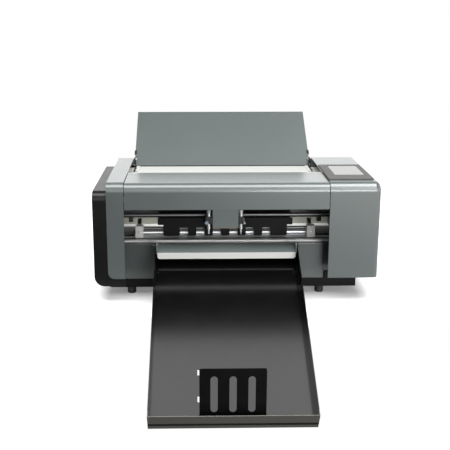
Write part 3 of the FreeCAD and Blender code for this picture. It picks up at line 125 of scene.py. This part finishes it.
class Finish(Net):
    """One material and the nodes in it."""

    def __init__(self, name, colour, roughness, **fixed):
        self.material = bpy.data.materials.new(name)
        self.material.use_nodes = True
        self.material.diffuse_color = (*colour, 1)
        super().__init__(self.material.node_tree)
        self.surface = self.tree.nodes["Principled BSDF"]
        self.colour = (*colour, 1)
        self.set("Base Color", self.colour)
        self.set("Roughness", roughness)
        for socket, value in fixed.items():
            self.set(socket.replace("_", " "), value)

    def set(self, socket, value):
        self.feed(self.surface.inputs[socket], value)

    def noise(self, size, detail=3, roughness=0.5, stretch=(1, 1, 1)):
        """Even noise whose patches are about that size in metres."""
        place = self.node("ShaderNodeTexCoord", {}, {}, "Object")
        spot = self.node("ShaderNodeMapping", {}, {"Vector": place, "Scale": stretch})
        return self.node("ShaderNodeTexNoise", {},
                         {"Vector": spot, "Scale": 1 / size, "Detail": detail, "Roughness": roughness})

    def blend(self, mask, under, over):
        """Colour under, with colour over where the mask is one."""
        return self.node("ShaderNodeMix", {"data_type": "RGBA"}, {0: mask, 6: under, 7: over}, 2)

    def edges(self, radius):
        """One along sharp edges, nothing on flats, and the rounded normal."""
        soft = self.node("ShaderNodeBevel", {"samples": 4}, {"Radius": radius})
        flat = self.node("ShaderNodeNewGeometry", {}, {}, "Normal")
        match = self.node("ShaderNodeVectorMath", {"operation": "DOT_PRODUCT"}, {0: soft, 1: flat}, "Value")
        return ((1 - match) * 6).clear(), soft

    def relief(self, height, depth, under=None):
        """Bump from a height signal, over a rounded normal if one is given."""
        inputs = {"Height": height, "Distance": depth, "Strength": 1.0}
        if under is not None:
            inputs["Normal"] = under
        self.set("Normal", self.node("ShaderNodeBump", {}, inputs))

    def vary(self, signal, amount):
        """Base colour that drifts by that share with the signal."""
        low = [c * (1 - amount) for c in self.colour[:3]] + [1]
        high = [min(1, c * (1 + amount)) for c in self.colour[:3]] + [1]
        return self.blend(signal, low, high)


def painted(name, colour, roughness, grain, depth, edge=0.6 * MM, wear=1.35, drift=0.05, beyond=None,
            **fixed):
    """Powder coat or moulded plastic: fine grain, slow drift of colour and softer, paler edges.

    With beyond = (axis, level, colour) it has the other colour past that level of the axis.
    """
    made = Finish(name, colour, roughness, **fixed)
    cloud = made.noise(0.12, 2)
    rim, rounded = made.edges(edge)
    pale = [min(1, c * wear + 0.004) for c in colour] + [1]
    body = made.vary(cloud, drift)
    if beyond:
        axis, level, other = beyond
        place = made.split("Object")["xyz".index(axis)]
        body = made.blend(place > level, body, (*other, 1))
    made.set("Base Color", made.blend(rim * 0.8, body, pale))
    made.set("Roughness", made.noise(0.03, 4) * 0.1 + (roughness - 0.05))
    made.relief(made.noise(grain, 2), depth, rounded)
    return made


def powder(name, colour, **fixed):
    """Powder coat under a soft gloss, as on all the grey sheet metal."""
    return painted(name, colour, 0.32, grain=1.1 * MM, depth=0.02 * MM, Coat_Weight=0.9, Coat_Roughness=0.2,
                   **fixed)


def turned(name, colour, roughness, along="x"):
    """Ground or turned metal with fine lines round the given axis."""
    made = Finish(name, colour, roughness, Metallic=1.0)
    stretch = [1, 1, 1]
    stretch["xyz".index(along)] = 40
    lines = made.noise(0.02, 4, 0.6, stretch)
    made.set("Base Color", made.vary(lines, 0.1))
    made.set("Roughness", lines * 0.08 + (roughness - 0.04))
    made.relief(lines, 0.005 * MM, made.edges(0.4 * MM)[1])
    return made


def toothed(name, colour, roughness, pitch):
    """Rubber belt with teeth all along it."""
    made = Finish(name, colour, roughness)
    x, y, z = made.split("Object")
    teeth = (x * (2 * math.pi / pitch)).wave() > 0
    made.set("Base Color", made.blend(teeth, made.colour, [c * 2 for c in colour] + [1]))
    made.relief(teeth, 0.5 * MM)
    return made


def screen_finish():
    """Pale screen with a dark border under one sheet of gloss."""
    made = Finish("touch screen glass", (0.20, 0.20, 0.19), 0.22, Coat_Weight=0.35, Coat_Roughness=0.1)
    low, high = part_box("touch_screen")
    middle, half = (low + high) / 2, (high - low) / 2
    x, y, z = made.split("Object")
    border = 1 * MM
    across = abs(x - middle.x) > half.x - border
    along = abs(y - middle.y) > half.y - border
    mask = (across + along).clear()
    made.set("Base Color", made.blend(mask, made.vary(made.noise(0.05), 0.05), (0.02, 0.02, 0.02, 1)))
    return made


def bed_finish():
    """Satin grey bed, with a lighter front strip painted as light near the lip and a near-white rear edge
    painted as the light falling in through the inlet.
    """
    made = Finish("satin bed with painted light strips", (0.11, 0.112, 0.11), 0.4, Specular_IOR_Level=0.3)
    low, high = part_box("platen")
    lit_front_strip, lit_rear_strip = 43 * MM, 24.5 * MM
    x, y, z = made.split("Object")
    # painted light: a lighter front strip, then a near-white rear edge at the inlet
    tone = made.blend(y < low.y + lit_front_strip, made.vary(made.noise(0.1, 2), 0.05), (0.66, 0.66, 0.645, 1))
    made.set("Base Color", made.blend(y > high.y - lit_rear_strip, tone, (0.85, 0.85, 0.83, 1)))
    made.set("Roughness", made.noise(0.03, 4) * 0.1 + 0.35)
    made.relief(made.noise(1 * MM, 2), 0.02 * MM, made.edges(0.6 * MM)[1])
    return made


def bracket_finish():
    """Black ears, on feet painted the pale colour that stands in for the shelf's reflection, so that they
    blend into the shelf under them.
    """
    made = Finish("black bracket, feet painted as the shelf's reflection", (0.008, 0.008, 0.008), 0.4, Specular_IOR_Level=0.2)
    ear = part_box("rear_brackets")[1].x - 8.8 * MM
    x, y, z = made.split("Object")
    # painted reflection: the feet inside the ears take the shelf's pale reflection colour
    made.set("Base Color", made.blend(abs(x) < ear, made.colour, (*SHELF_REFLECTION_COLOUR, 1)))
    made.relief(made.noise(1 * MM, 2), 0.02 * MM, made.edges(0.5 * MM)[1])
    return made


def board_finish():
    """Green solder mask with copper tracks under it."""
    made = Finish("circuit board", (0.02, 0.12, 0.05), 0.35)
    x, y, z = made.split("Object")
    tracks = ((y * 1400).wave() * (z * 1100).wave()) > 0.55
    made.set("Base Color", made.blend(tracks, made.colour, (0.05, 0.22, 0.08, 1)))
    made.relief(tracks, 0.05 * MM)
    return made


def tray_finish():
    """Black satin sheet, faintly rubbed where the stacks land, with a warmer front flange."""
    made = Finish("black satin tray", (0.0028, 0.0029, 0.003), 0.12, Specular_IOR_Level=0.22)
    rim, rounded = made.edges(0.7 * MM)
    x, y, z = made.split("Object")
    landing = -0.2
    rubbed = made.noise(0.05, 5, 0.6) * ((landing - y) * 5).clear()
    sheet = made.blend(rubbed * 0.5, made.vary(made.noise(0.2, 2), 0.1), (0.008, 0.0084, 0.0086, 1))
    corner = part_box("catch_tray")[0]
    flange = ((y < corner.y + 13 * MM) + (z < corner.z + 9 * MM)).clear()
    sheet = made.blend(flange, sheet, (0.19, 0.178, 0.158, 1))
    made.set("Base Color", made.blend(rim * 0.8, sheet, (0.05, 0.048, 0.045, 1)))
    made.set("Roughness", made.noise(0.04, 4) * 0.05 + 0.1)
    made.relief(made.noise(1.4 * MM, 2), 0.01 * MM, rounded)
    return made


# painted reflection: a pale colour for the shelf's grey paint, standing in for the backdrop it reflects
SHELF_REFLECTION_COLOUR = (0.68, 0.69, 0.66)
shelf_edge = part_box("feed_shelf")[1].z - 10 * MM
panel_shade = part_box("right_housing")[0].x - 5.6 * MM

grey_paint = powder("grey powder coat", (0.118, 0.140, 0.137))
# painted shade: a darker copy of the grey powder coat, darker still past panel_shade where shade falls in the
# recess beside the right housing
shaded_panel_grey = powder("grey powder coat darkened as painted shade, lower panel", (0.080, 0.095, 0.093),
                    beyond=("x", panel_shade, (0.012, 0.013, 0.013)))
# painted light: a lighter copy of the grey powder coat on the chute and carriage hood, standing in for light
# in the throat
lit_inside_grey = powder("grey powder coat lightened as painted light, inside", (0.215, 0.256, 0.249))
inner_grey = painted("olive grey inner wall", (0.40, 0.40, 0.345), 0.45, grain=1 * MM, depth=0.02 * MM)
# painted shade and reflection: the slope is black where shade falls under the cover, and the shelf top is
# pale as its reflection
shelf_shade_and_reflection = painted("black slope, pale shelf", (0.012, 0.012, 0.012), 0.35, grain=1 * MM, depth=0.02 * MM,
                      beyond=("z", shelf_edge, SHELF_REFLECTION_COLOUR))
black_moulding = painted("black fine grain plastic", (0.004, 0.004, 0.004), 0.32, grain=0.9 * MM,
                         depth=0.03 * MM, wear=2.2, Specular_IOR_Level=0.3, Coat_Weight=0.08,
                         Coat_Roughness=0.25)
black_paint = painted("black satin sheet", (0.0035, 0.0035, 0.0037), 0.38, grain=1.2 * MM, depth=0.03 * MM,
                      wear=2.4, Specular_IOR_Level=0.15)
black_plastic = painted("black plastic", (0.012, 0.012, 0.012), 0.38, grain=0.6 * MM, depth=0.02 * MM,
                        edge=0.4 * MM, wear=2.5)
bezel_black = painted("warm black bezel", (0.030, 0.029, 0.026), 0.38, grain=0.6 * MM, depth=0.01 * MM,
                      edge=0.5 * MM, wear=1.2, Specular_IOR_Level=0.42)
white_plastic = painted("white plastic", (0.92, 0.92, 0.89), 0.35, grain=2 * MM, depth=0.02 * MM, wear=1.1,
                        drift=0.03)
pale_plastic = painted("pale blue plastic", (0.50, 0.58, 0.70), 0.3, grain=1.5 * MM, depth=0.01 * MM,
                       wear=1.2)
rubber = painted("black rubber", (0.017, 0.017, 0.017), 0.62, grain=0.5 * MM, depth=0.05 * MM, edge=0.4 * MM,
                 wear=1.6)
belt = toothed("toothed belt rubber", (0.012, 0.012, 0.012), 0.6, pitch=2.032 * MM)
zinc = painted("zinc plate", (0.52, 0.52, 0.50), 0.36, grain=4 * MM, depth=0.01 * MM, wear=1.1, Metallic=0.9)
# painted highlight: the lip is near white, standing in for the light that catches its edge
lip_highlight_paint = painted("near-white edging painted as highlight", (0.95, 0.95, 0.94), 0.3, grain=0.8 * MM, depth=0.01 * MM,
                    wear=1.0, Coat_Weight=1.0, Coat_Roughness=0.25)
# painted shade: the side frames and pinch brackets are darkened steel, standing in for the shade at the
# throat's sides
shaded_frame_steel = painted("steel darkened as painted shade, side frames", (0.025, 0.0255, 0.0255), 0.4, grain=2 * MM, depth=0.01 * MM,
                      Metallic=0.5)
motor_black = painted("black oxide steel", (0.03, 0.03, 0.03), 0.4, grain=0.8 * MM, depth=0.03 * MM)
cast_grey = painted("cast end cap", (0.42, 0.42, 0.41), 0.4, grain=0.8 * MM, depth=0.04 * MM, Metallic=0.8)
steel = turned("ground steel", (0.66, 0.67, 0.68), 0.34)
satin_rod = turned("satin roller", (0.80, 0.81, 0.82), 0.42)
# painted shade: a darkened copy of ground steel for the rods that lie in shade under the cover
shaded_rod_steel = turned("ground steel darkened as painted shade, rods", (0.15, 0.152, 0.155), 0.42)
bright = turned("bright aluminium", (0.88, 0.88, 0.87), 0.32)
brass = turned("turned brass", (0.62, 0.45, 0.2), 0.25)
bronze = turned("bronze leaf", (0.50, 0.30, 0.17), 0.3)
blackened = turned("blackened steel", (0.06, 0.06, 0.06), 0.35, along="z")

FINISHES = {
    grey_paint: ["left_cap", "right_housing", "top_cover", "rear_support"],
    shaded_panel_grey: ["front_panel"],
    lit_inside_grey: ["exit_chute", "carriage_cover"],
    shelf_shade_and_reflection: ["feed_shelf"],
    inner_grey: ["rear_inner_wall"],
    black_moulding: ["left_housing"],
    black_paint: ["base_pan", "rear_panel", "comb_guide", "stop_plate", "carriage_beam", "pinch_arms"],
    bracket_finish(): ["rear_brackets"],
    tray_finish(): ["catch_tray"],
    bed_finish(): ["platen"],
    bezel_black: ["screen_bezel"],
    black_plastic: ["rod_end_blocks", "carriage_body", "rear_sockets", "power_switch", "support_clips",
                    "blade_slider", "crease_slider"],
    white_plastic: ["exit_trim", "pinch_blocks", "clamp_lever"],
    pale_plastic: ["clamp_knob"],
    rubber: ["feet", "feed_tyres"],
    belt: ["feed_belt", "carriage_belt"],
    shaded_frame_steel: ["side_frame_left", "side_frame_right", "pinch_brackets"],
    zinc: ["power_supply"],
    steel: ["drive_roller", "feed_shaft", "blade", "blade_holder", "crease_tool", "bracket_screws"],
    shaded_rod_steel: ["guide_rod", "pinch_tie_rod"],
    satin_rod: ["pinch_roller"],
    lip_highlight_paint: ["platen_lip"],
    bright: ["drive_pulley", "feed_motor_pulley", "carriage_motor_pulley", "idler_pulley"],
    brass: ["drive_bearings", "carriage_bushes"],
    motor_black: ["stepper_motors", "solenoids"],
    blackened: ["tray_pins"],
    screen_finish(): ["touch_screen"],
    board_finish(): ["circuit_board"],
}

for finish, names in FINISHES.items():
    for name in names:
        nodes[name].data.materials.clear()
        nodes[name].data.materials.append(finish.material)


# Shaping tools for the small fittings

def start():
    """Clear the selection before a new shape."""
    bpy.ops.object.select_all(action="DESELECT")


def choose(piece, test):
    """Select the faces whose centre and normal pass the test, in edit mode."""
    bpy.ops.object.mode_set(mode="EDIT")
    bpy.ops.mesh.select_mode(type="FACE")
    bpy.ops.mesh.select_all(action="DESELECT")
    bpy.ops.object.mode_set(mode="OBJECT")
    for face in piece.data.polygons:
        face.select = test(face)
    bpy.ops.object.mode_set(mode="EDIT")


def block(name, size):
    """A box of that size about the origin, ready to be shaped."""
    start()
    bpy.ops.mesh.primitive_cube_add(size=1, scale=size)
    piece = bpy.context.object
    piece.name = name
    bpy.ops.object.transform_apply(location=False, rotation=False, scale=True)
    return piece


def disc(name, radius, depth, sides=28):
    """A round blank about the origin, its axis along Z."""
    start()
    bpy.ops.mesh.primitive_cylinder_add(vertices=sides, radius=radius, depth=depth)
    piece = bpy.context.object
    piece.name = name
    return piece


def modify(piece, kind, **settings):
    """Add a modifier and apply it at once."""
    start()
    bpy.context.view_layer.objects.active = piece
    piece.select_set(True)
    step = piece.modifiers.new(kind, kind)
    for key, value in settings.items():
        setattr(step, key, value)
    bpy.ops.object.modifier_apply(modifier=step.name)


def soften(piece, width, segments=2):
    modify(piece, "BEVEL", width=width, segments=segments, limit_method="ANGLE", angle_limit=math.radians(40),
           harden_normals=False)


def carve(piece, cutter):
    """Take the cutter's shape out of the piece."""
    modify(piece, "BOOLEAN", operation="DIFFERENCE", object=cutter, solver="EXACT")
    bpy.data.objects.remove(cutter)


def sink(piece, test, rim, depth):
    """Inset the chosen faces and push them in."""
    choose(piece, test)
    bpy.ops.mesh.inset(thickness=rim, depth=-depth)
    bpy.ops.object.mode_set(mode="OBJECT")


def turn_to(direction):
    """Rotation that takes +Z to the direction."""
    return Vector(direction).to_track_quat("Z", "Y").to_matrix().to_4x4()


def settle(piece, finish, body, spot=(0, 0, 0), direction=(0, 0, 1)):
    """Move the mesh, in millimetres, to its place and tie the piece to its body."""
    place = Matrix.Translation(Vector(spot) * MM) @ turn_to(direction)
    piece.data.transform(place)
    piece.data.materials.clear()
    piece.data.materials.append(finish.material)
    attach(piece, body)
    return piece


def repeat(master, name, finish, body, places):
    """Copies of a shaped blank, each with its own mesh, at (spot, direction) places."""
    for number, (spot, direction) in enumerate(places, 1):
        piece = bpy.data.objects.new(f"{name}_{number:02d}", master.data.copy())
        bpy.context.scene.collection.objects.link(piece)
        settle(piece, finish, body, spot, direction)


# Small fittings

SIDES = (-1, 1)


def cross_screw(radius, rise):
    """Pan head with a cross recess, its seat at the origin."""
    head = disc("screw_blank", radius, rise)
    choose(head, lambda face: face.normal.z > 0.9)
    bpy.ops.mesh.inset(thickness=radius * 0.3)
    bpy.ops.transform.translate(value=(0, 0, rise * 0.35))
    bpy.ops.object.mode_set(mode="OBJECT")
    soften(head, rise * 0.12)
    for size in ((radius * 1.15, radius * 0.3, rise), (radius * 0.3, radius * 1.15, rise)):
        bar = block("recess", size)
        bar.data.transform(Matrix.Translation((0, 0, rise * 0.85)))
        carve(head, bar)
    head.data.transform(Matrix.Translation((0, 0, rise / 2)))
    return head


def limits(node):
    """The low and high corners of a node, in millimetres."""
    return [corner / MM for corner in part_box(node)]


def grid(columns, rows):
    """Every pair of a column and a row."""
    return [(column, row) for column in columns for row in rows]


def case_screws(master):
    """Screws of the rear panel, of both housings' backs and of the base."""
    back = limits("rear_panel")[1].y
    places = [((x, back, z), (0, 1, 0)) for x, z in grid((-276, -96, 66, 234), (52, 258))]
    back = limits("right_housing")[1].y
    places += [((x, back, z), (0, 1, 0)) for x, z in grid((262, 352), (74, 284))]
    back = limits("left_housing")[1].y
    places += [((x, back, z), (0, 1, 0)) for x, z in grid((-306,), (64, 250))]
    under = limits("base_pan")[0].z
    places += [((x, y, under), (0, 0, -1)) for x, y in grid((-200, 0, 200), (76, 316))]
    repeat(master, "case_screw", blackened, "root", places)


def screws():
    """Case screws, the screws in the ends of the tray pins and those of the pinch blocks."""
    master = cross_screw(3.2 * MM, 1.5 * MM)
    case_screws(master)
    low, high = limits("tray_pins")
    middle = (low + high) / 2
    ends = [((low.x, middle.y, middle.z), (-1, 0, 0)), ((high.x, middle.y, middle.z), (1, 0, 0))]
    repeat(master, "pin_screw", blackened, "root", ends)
    low, high = limits("pinch_blocks")
    inset, lift = 10, 15.2
    faces = [((side * (high.x - inset), low.y, low.z + lift), (0, -1, 0)) for side in SIDES]
    repeat(master, "pinch_screw", steel, "pinch_frame", faces)
    bpy.data.objects.remove(master)


def carriage_leaf():
    """Bronze strip with a turned-in foot along the carriage's lower front edge."""
    low, high = limits("carriage_cover")
    foot_reach, foot_drop = 2.2 * MM, 1 * MM
    leaf = block("carriage_leaf", (62 * MM, 0.5 * MM, 4 * MM))
    choose(leaf, lambda face: face.normal.z < -0.9)
    bpy.ops.mesh.extrude_region_move(TRANSFORM_OT_translate={"value": (0, -foot_reach, -foot_drop)})
    bpy.ops.object.mode_set(mode="OBJECT")
    soften(leaf, 0.12 * MM)
    settle(leaf, bronze, "carriage", (0, high.y - 0.3, low.z - 1.5))


def grip_ring(name, node, finish, body):
    """Ribbed sleeve near the top of a tool."""
    low, high = limits(node)
    middle = (low + high) / 2
    from_top = 4.2
    ring = disc(name, 5.3 * MM, 6 * MM, 36)
    choose(ring, lambda face: abs(face.normal.z) < 0.1 and face.index % 2 == 0)
    bpy.ops.mesh.inset(thickness=0.12 * MM, depth=-0.35 * MM, use_individual=True)
    bpy.ops.object.mode_set(mode="OBJECT")
    soften(ring, 0.15 * MM, 1)
    settle(ring, finish, body, (middle.x, middle.y, high.z - from_top))


def motor_fittings():
    """Cast end caps, cap screws and a lead socket on each motor."""
    low, high = limits("stepper_motors")
    half_width, length, screw_half = 21, 34, 15.5
    feed = Vector((-285, high.y - half_width, low.z + half_width))
    drive = Vector((high.x - half_width, 139, high.z - half_width))
    inward, back = Vector((1, 0, 0)), Vector((0, 1, 0))

    cap = block("cap_blank", (42.8 * MM, 42.8 * MM, 8 * MM))
    choose(cap, lambda face: face.normal.z > 0.9)
    bpy.ops.mesh.inset(thickness=2 * MM, depth=0.6 * MM)
    bpy.ops.object.mode_set(mode="OBJECT")
    modify(cap, "BEVEL", width=2.2 * MM, segments=2, limit_method="ANGLE", angle_limit=math.radians(60))
    seat = 5
    places = [(feed + inward * length, inward), (feed + inward * seat, -inward),
              (drive + back * length, back), (drive + back * seat, -back)]
    repeat(cap, "motor_cap", cast_grey, "root", places)
    bpy.data.objects.remove(cap)

    head = cross_screw(2.2 * MM, 1.2 * MM)
    corners = grid((-screw_half, screw_half), (-screw_half, screw_half))
    far = length + 4.5
    places = [(feed + Vector((far, a, b)), inward) for a, b in corners]
    places += [(drive + Vector((a, far, b)), back) for a, b in corners]
    repeat(head, "motor_screw", blackened, "root", places)
    bpy.data.objects.remove(head)

    socket = block("socket_blank", (12 * MM, 6 * MM, 7 * MM))
    sink(socket, lambda face: face.normal.z > 0.9, 0.8 * MM, 4.5 * MM)
    soften(socket, 0.2 * MM, 1)
    along, out = 24, 24.2
    places = [(feed + Vector((along, 0, -out)), (0, 0, -1)), (drive + Vector((0, along, out)), (0, 0, 1))]
    repeat(socket, "motor_socket", white_plastic, "root", places)
    bpy.data.objects.remove(socket)


def board_parts():
    """Capacitors and lead sockets on the circuit board."""
    parts_rise = 3
    face = limits("circuit_board")[1].x - parts_rise
    can_radius, can_length, groove_down = 5, 12, 4.2
    can = disc("can_blank", can_radius * MM, can_length * MM, 24)
    soften(can, 0.7 * MM, 3)
    groove = disc("groove", (can_radius + 0.6) * MM, 0.7 * MM, 24)
    inner = disc("groove_core", (can_radius - 0.4) * MM, 2 * MM, 24)
    for ring in (groove, inner):
        ring.data.transform(Matrix.Translation((0, 0, -groove_down * MM)))
    carve(groove, inner)
    carve(can, groove)
    spots = ((124, 212), (140, 212), (156, 216), (228, 132))
    places = [((face + can_length / 2, y, z), (1, 0, 0)) for y, z in spots]
    repeat(can, "capacitor", motor_black, "root", places)
    bpy.data.objects.remove(can)

    socket_height = 9
    socket = block("lead_blank", (9 * MM, 24 * MM, socket_height * MM))
    sink(socket, lambda face: face.normal.z > 0.9, 1 * MM, 6 * MM)
    soften(socket, 0.25 * MM, 1)
    spots = grid((132, 158, 184), (128,)) + grid((186, 206), (224,))
    places = [((face + socket_height / 2, y, z), (1, 0, 0)) for y, z in spots]
    repeat(socket, "lead_socket", white_plastic, "root", places)
    bpy.data.objects.remove(socket)


def hinge_fittings():
    """Side plates on the hinge pins of the rear support, with a flange, a liner and a bright screw."""
    pin_end = limits("rear_brackets")[1].x
    housing_back = limits("right_housing")[1].y
    ear_face, cheek_wall, liner_wall = 242.5, 1.7, 0.8
    cheek = block("cheek_blank", (38 * MM, 29 * MM, cheek_wall * MM))
    soften(cheek, 5 * MM, 4)
    flange = block("flange_blank", (11 * MM, 22 * MM, 1.4 * MM))
    soften(flange, 1.2 * MM, 3)
    liner = block("liner_blank", (33 * MM, 21 * MM, liner_wall * MM))
    soften(liner, 3 * MM, 4)
    head = cross_screw(2.5 * MM, 1.7 * MM)

    def pair(master, name, finish, x, y, z, outward=None):
        """One copy on each side of the part, facing back or, with outward 1 or -1, to the side."""
        places = [((side * x, y, z), (side * outward, 0, 0) if outward else (0, 1, 0)) for side in SIDES]
        repeat(master, name, finish, "root", places)
        bpy.data.objects.remove(master)

    pair(cheek, "hinge_cheek", black_paint, pin_end - cheek_wall / 2, 361, 279.5, 1)
    pair(flange, "hinge_flange", black_paint, pin_end + 5.3, housing_back + 1, 279)
    pair(liner, "hinge_liner", grey_paint, ear_face - liner_wall / 2, 359.5, 281, 1)
    pair(head, "hinge_screw", steel, pin_end - cheek_wall, 347, 277, -1)


def cutting_strip():
    """Hard rubber strip let into the bed under the blade's line."""
    strip = block("cutting_strip", (560 * MM, 7 * MM, 0.8 * MM))
    soften(strip, 0.3 * MM)
    top = limits("platen")[1].z
    blade_line, proud = 101, 0.2
    settle(strip, black_plastic, "root", (0, blade_line, top + proud))


screws()
carriage_leaf()
grip_ring("blade_grip", "blade_holder", white_plastic, "blade_slider")
grip_ring("crease_grip", "crease_tool", pale_plastic, "crease_slider")
motor_fittings()
board_parts()
hinge_fittings()
cutting_strip()


# Stage, camera and lights

def stage():
    """Pale table top under the machine that glows white for the camera, faintly within the machine's
    footprint and fully away from it, so that its shadow shows only near the machine.
    """
    start()
    bpy.ops.mesh.primitive_cube_add(size=1, location=(0, 0.9, -0.015), scale=(4.0, 2.0, 0.03))
    table = bpy.context.object
    table.name = "table"
    bpy.ops.object.transform_apply(location=True, rotation=False, scale=True)
    made = Finish("white table", (0.6, 0.6, 0.6), 0.6, Specular_IOR_Level=0.2, Emission_Strength=1.0)
    seen = made.node("ShaderNodeLightPath", {}, {}, "Is Camera Ray")
    x, y, z = made.split("Object")
    low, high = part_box("base_pan")
    middle, half = (low + high) / 2, (high - low) / 2
    beside = (abs(x - middle.x) - half.x).clear()
    before = (abs(y - middle.y) - half.y).clear()
    far = (beside * 18 + before * 8).clear()
    glow = seen * (far * 0.75 + 0.2)
    made.set("Emission Color", made.blend(glow, (0, 0, 0, 1), (1, 1, 1, 1)))
    table.data.materials.append(made.material)


def world():
    """White for the camera, a white backdrop behind in reflections, soft light on everything else."""
    room = bpy.data.worlds.new("studio")
    bpy.context.scene.world = room
    room.use_nodes = True
    net = Net(room.node_tree)
    path = net.node("ShaderNodeLightPath", {}, {}).socket.node
    camera_ray, glossy, through = [Signal(net, path.outputs[kind])
                                   for kind in ("Is Camera Ray", "Is Glossy Ray", "Is Transmission Ray")]
    x, y, z = net.split("Generated")

    # what gloss mirrors: the backdrop behind, and ahead a glow above, a wall beside and a softbox
    low = ((0.7 - z) * 4).clear()
    behind = (y * 3 + 0.3).clear()
    above = (z * 6 + 0.3).clear() * low * 1.6
    beside = (x * 4 + 0.2).clear() * (z * 9 + 3.1).clear() * (1 - z * 5).clear() * 2.4
    softbox = ((x - 0.165) * 14).clear() * ((0.33 - x) * 14).clear() * ((z - 0.3) * 6).clear() * 12
    mirrored = low * behind * 1.3 + (1 - behind) * (above + beside + softbox)

    soft = (y * 0.5).clear() + (x * 0.2 + z * 0.5 + 0.03).clear()
    shown = (camera_ray + through).clear()
    level = shown + (1 - shown) * (glossy * mirrored + (1 - glossy) * soft)
    backdrop = room.node_tree.nodes["Background"]
    backdrop.inputs["Color"].default_value = (1, 1, 1, 1)
    net.feed(backdrop.inputs["Strength"], level)


def lamp(name, spot, target, size, power):
    """Soft rectangular lamp that faces its target."""
    light = bpy.data.lights.new(name, "AREA")
    light.shape = "RECTANGLE"
    light.size, light.size_y = size
    light.energy = power
    holder = bpy.data.objects.new(name, light)
    bpy.context.scene.collection.objects.link(holder)
    holder.location = spot
    holder.rotation_euler = (Vector(target) - Vector(spot)).to_track_quat("-Z", "Y").to_euler()


def camera():
    """The photograph's view."""
    downward, to_the_right = 13.63, 1.06
    view = bpy.data.cameras.new("camera")
    holder = bpy.data.objects.new("camera", view)
    bpy.context.scene.collection.objects.link(holder)
    holder.location = (-0.0734, -1.8426, 0.7009)
    holder.rotation_euler = (math.radians(90 - downward), 0, math.radians(-to_the_right))
    view.sensor_width = 36
    view.lens = 63.29
    view.shift_x = 0.0317
    view.shift_y = -0.0515
    bpy.context.scene.camera = holder


stage()
world()
lamp("top", spot=(0, -0.38, 1.93), target=(0, 0, 0.2), size=(2.2, 1.04), power=48)
lamp("fill", spot=(0.8, -2.1, 0.5), target=(0, 0.1, 0.17), size=(1.2, 0.5), power=21)
camera()
bpy.context.scene.view_settings.view_transform = "Standard"
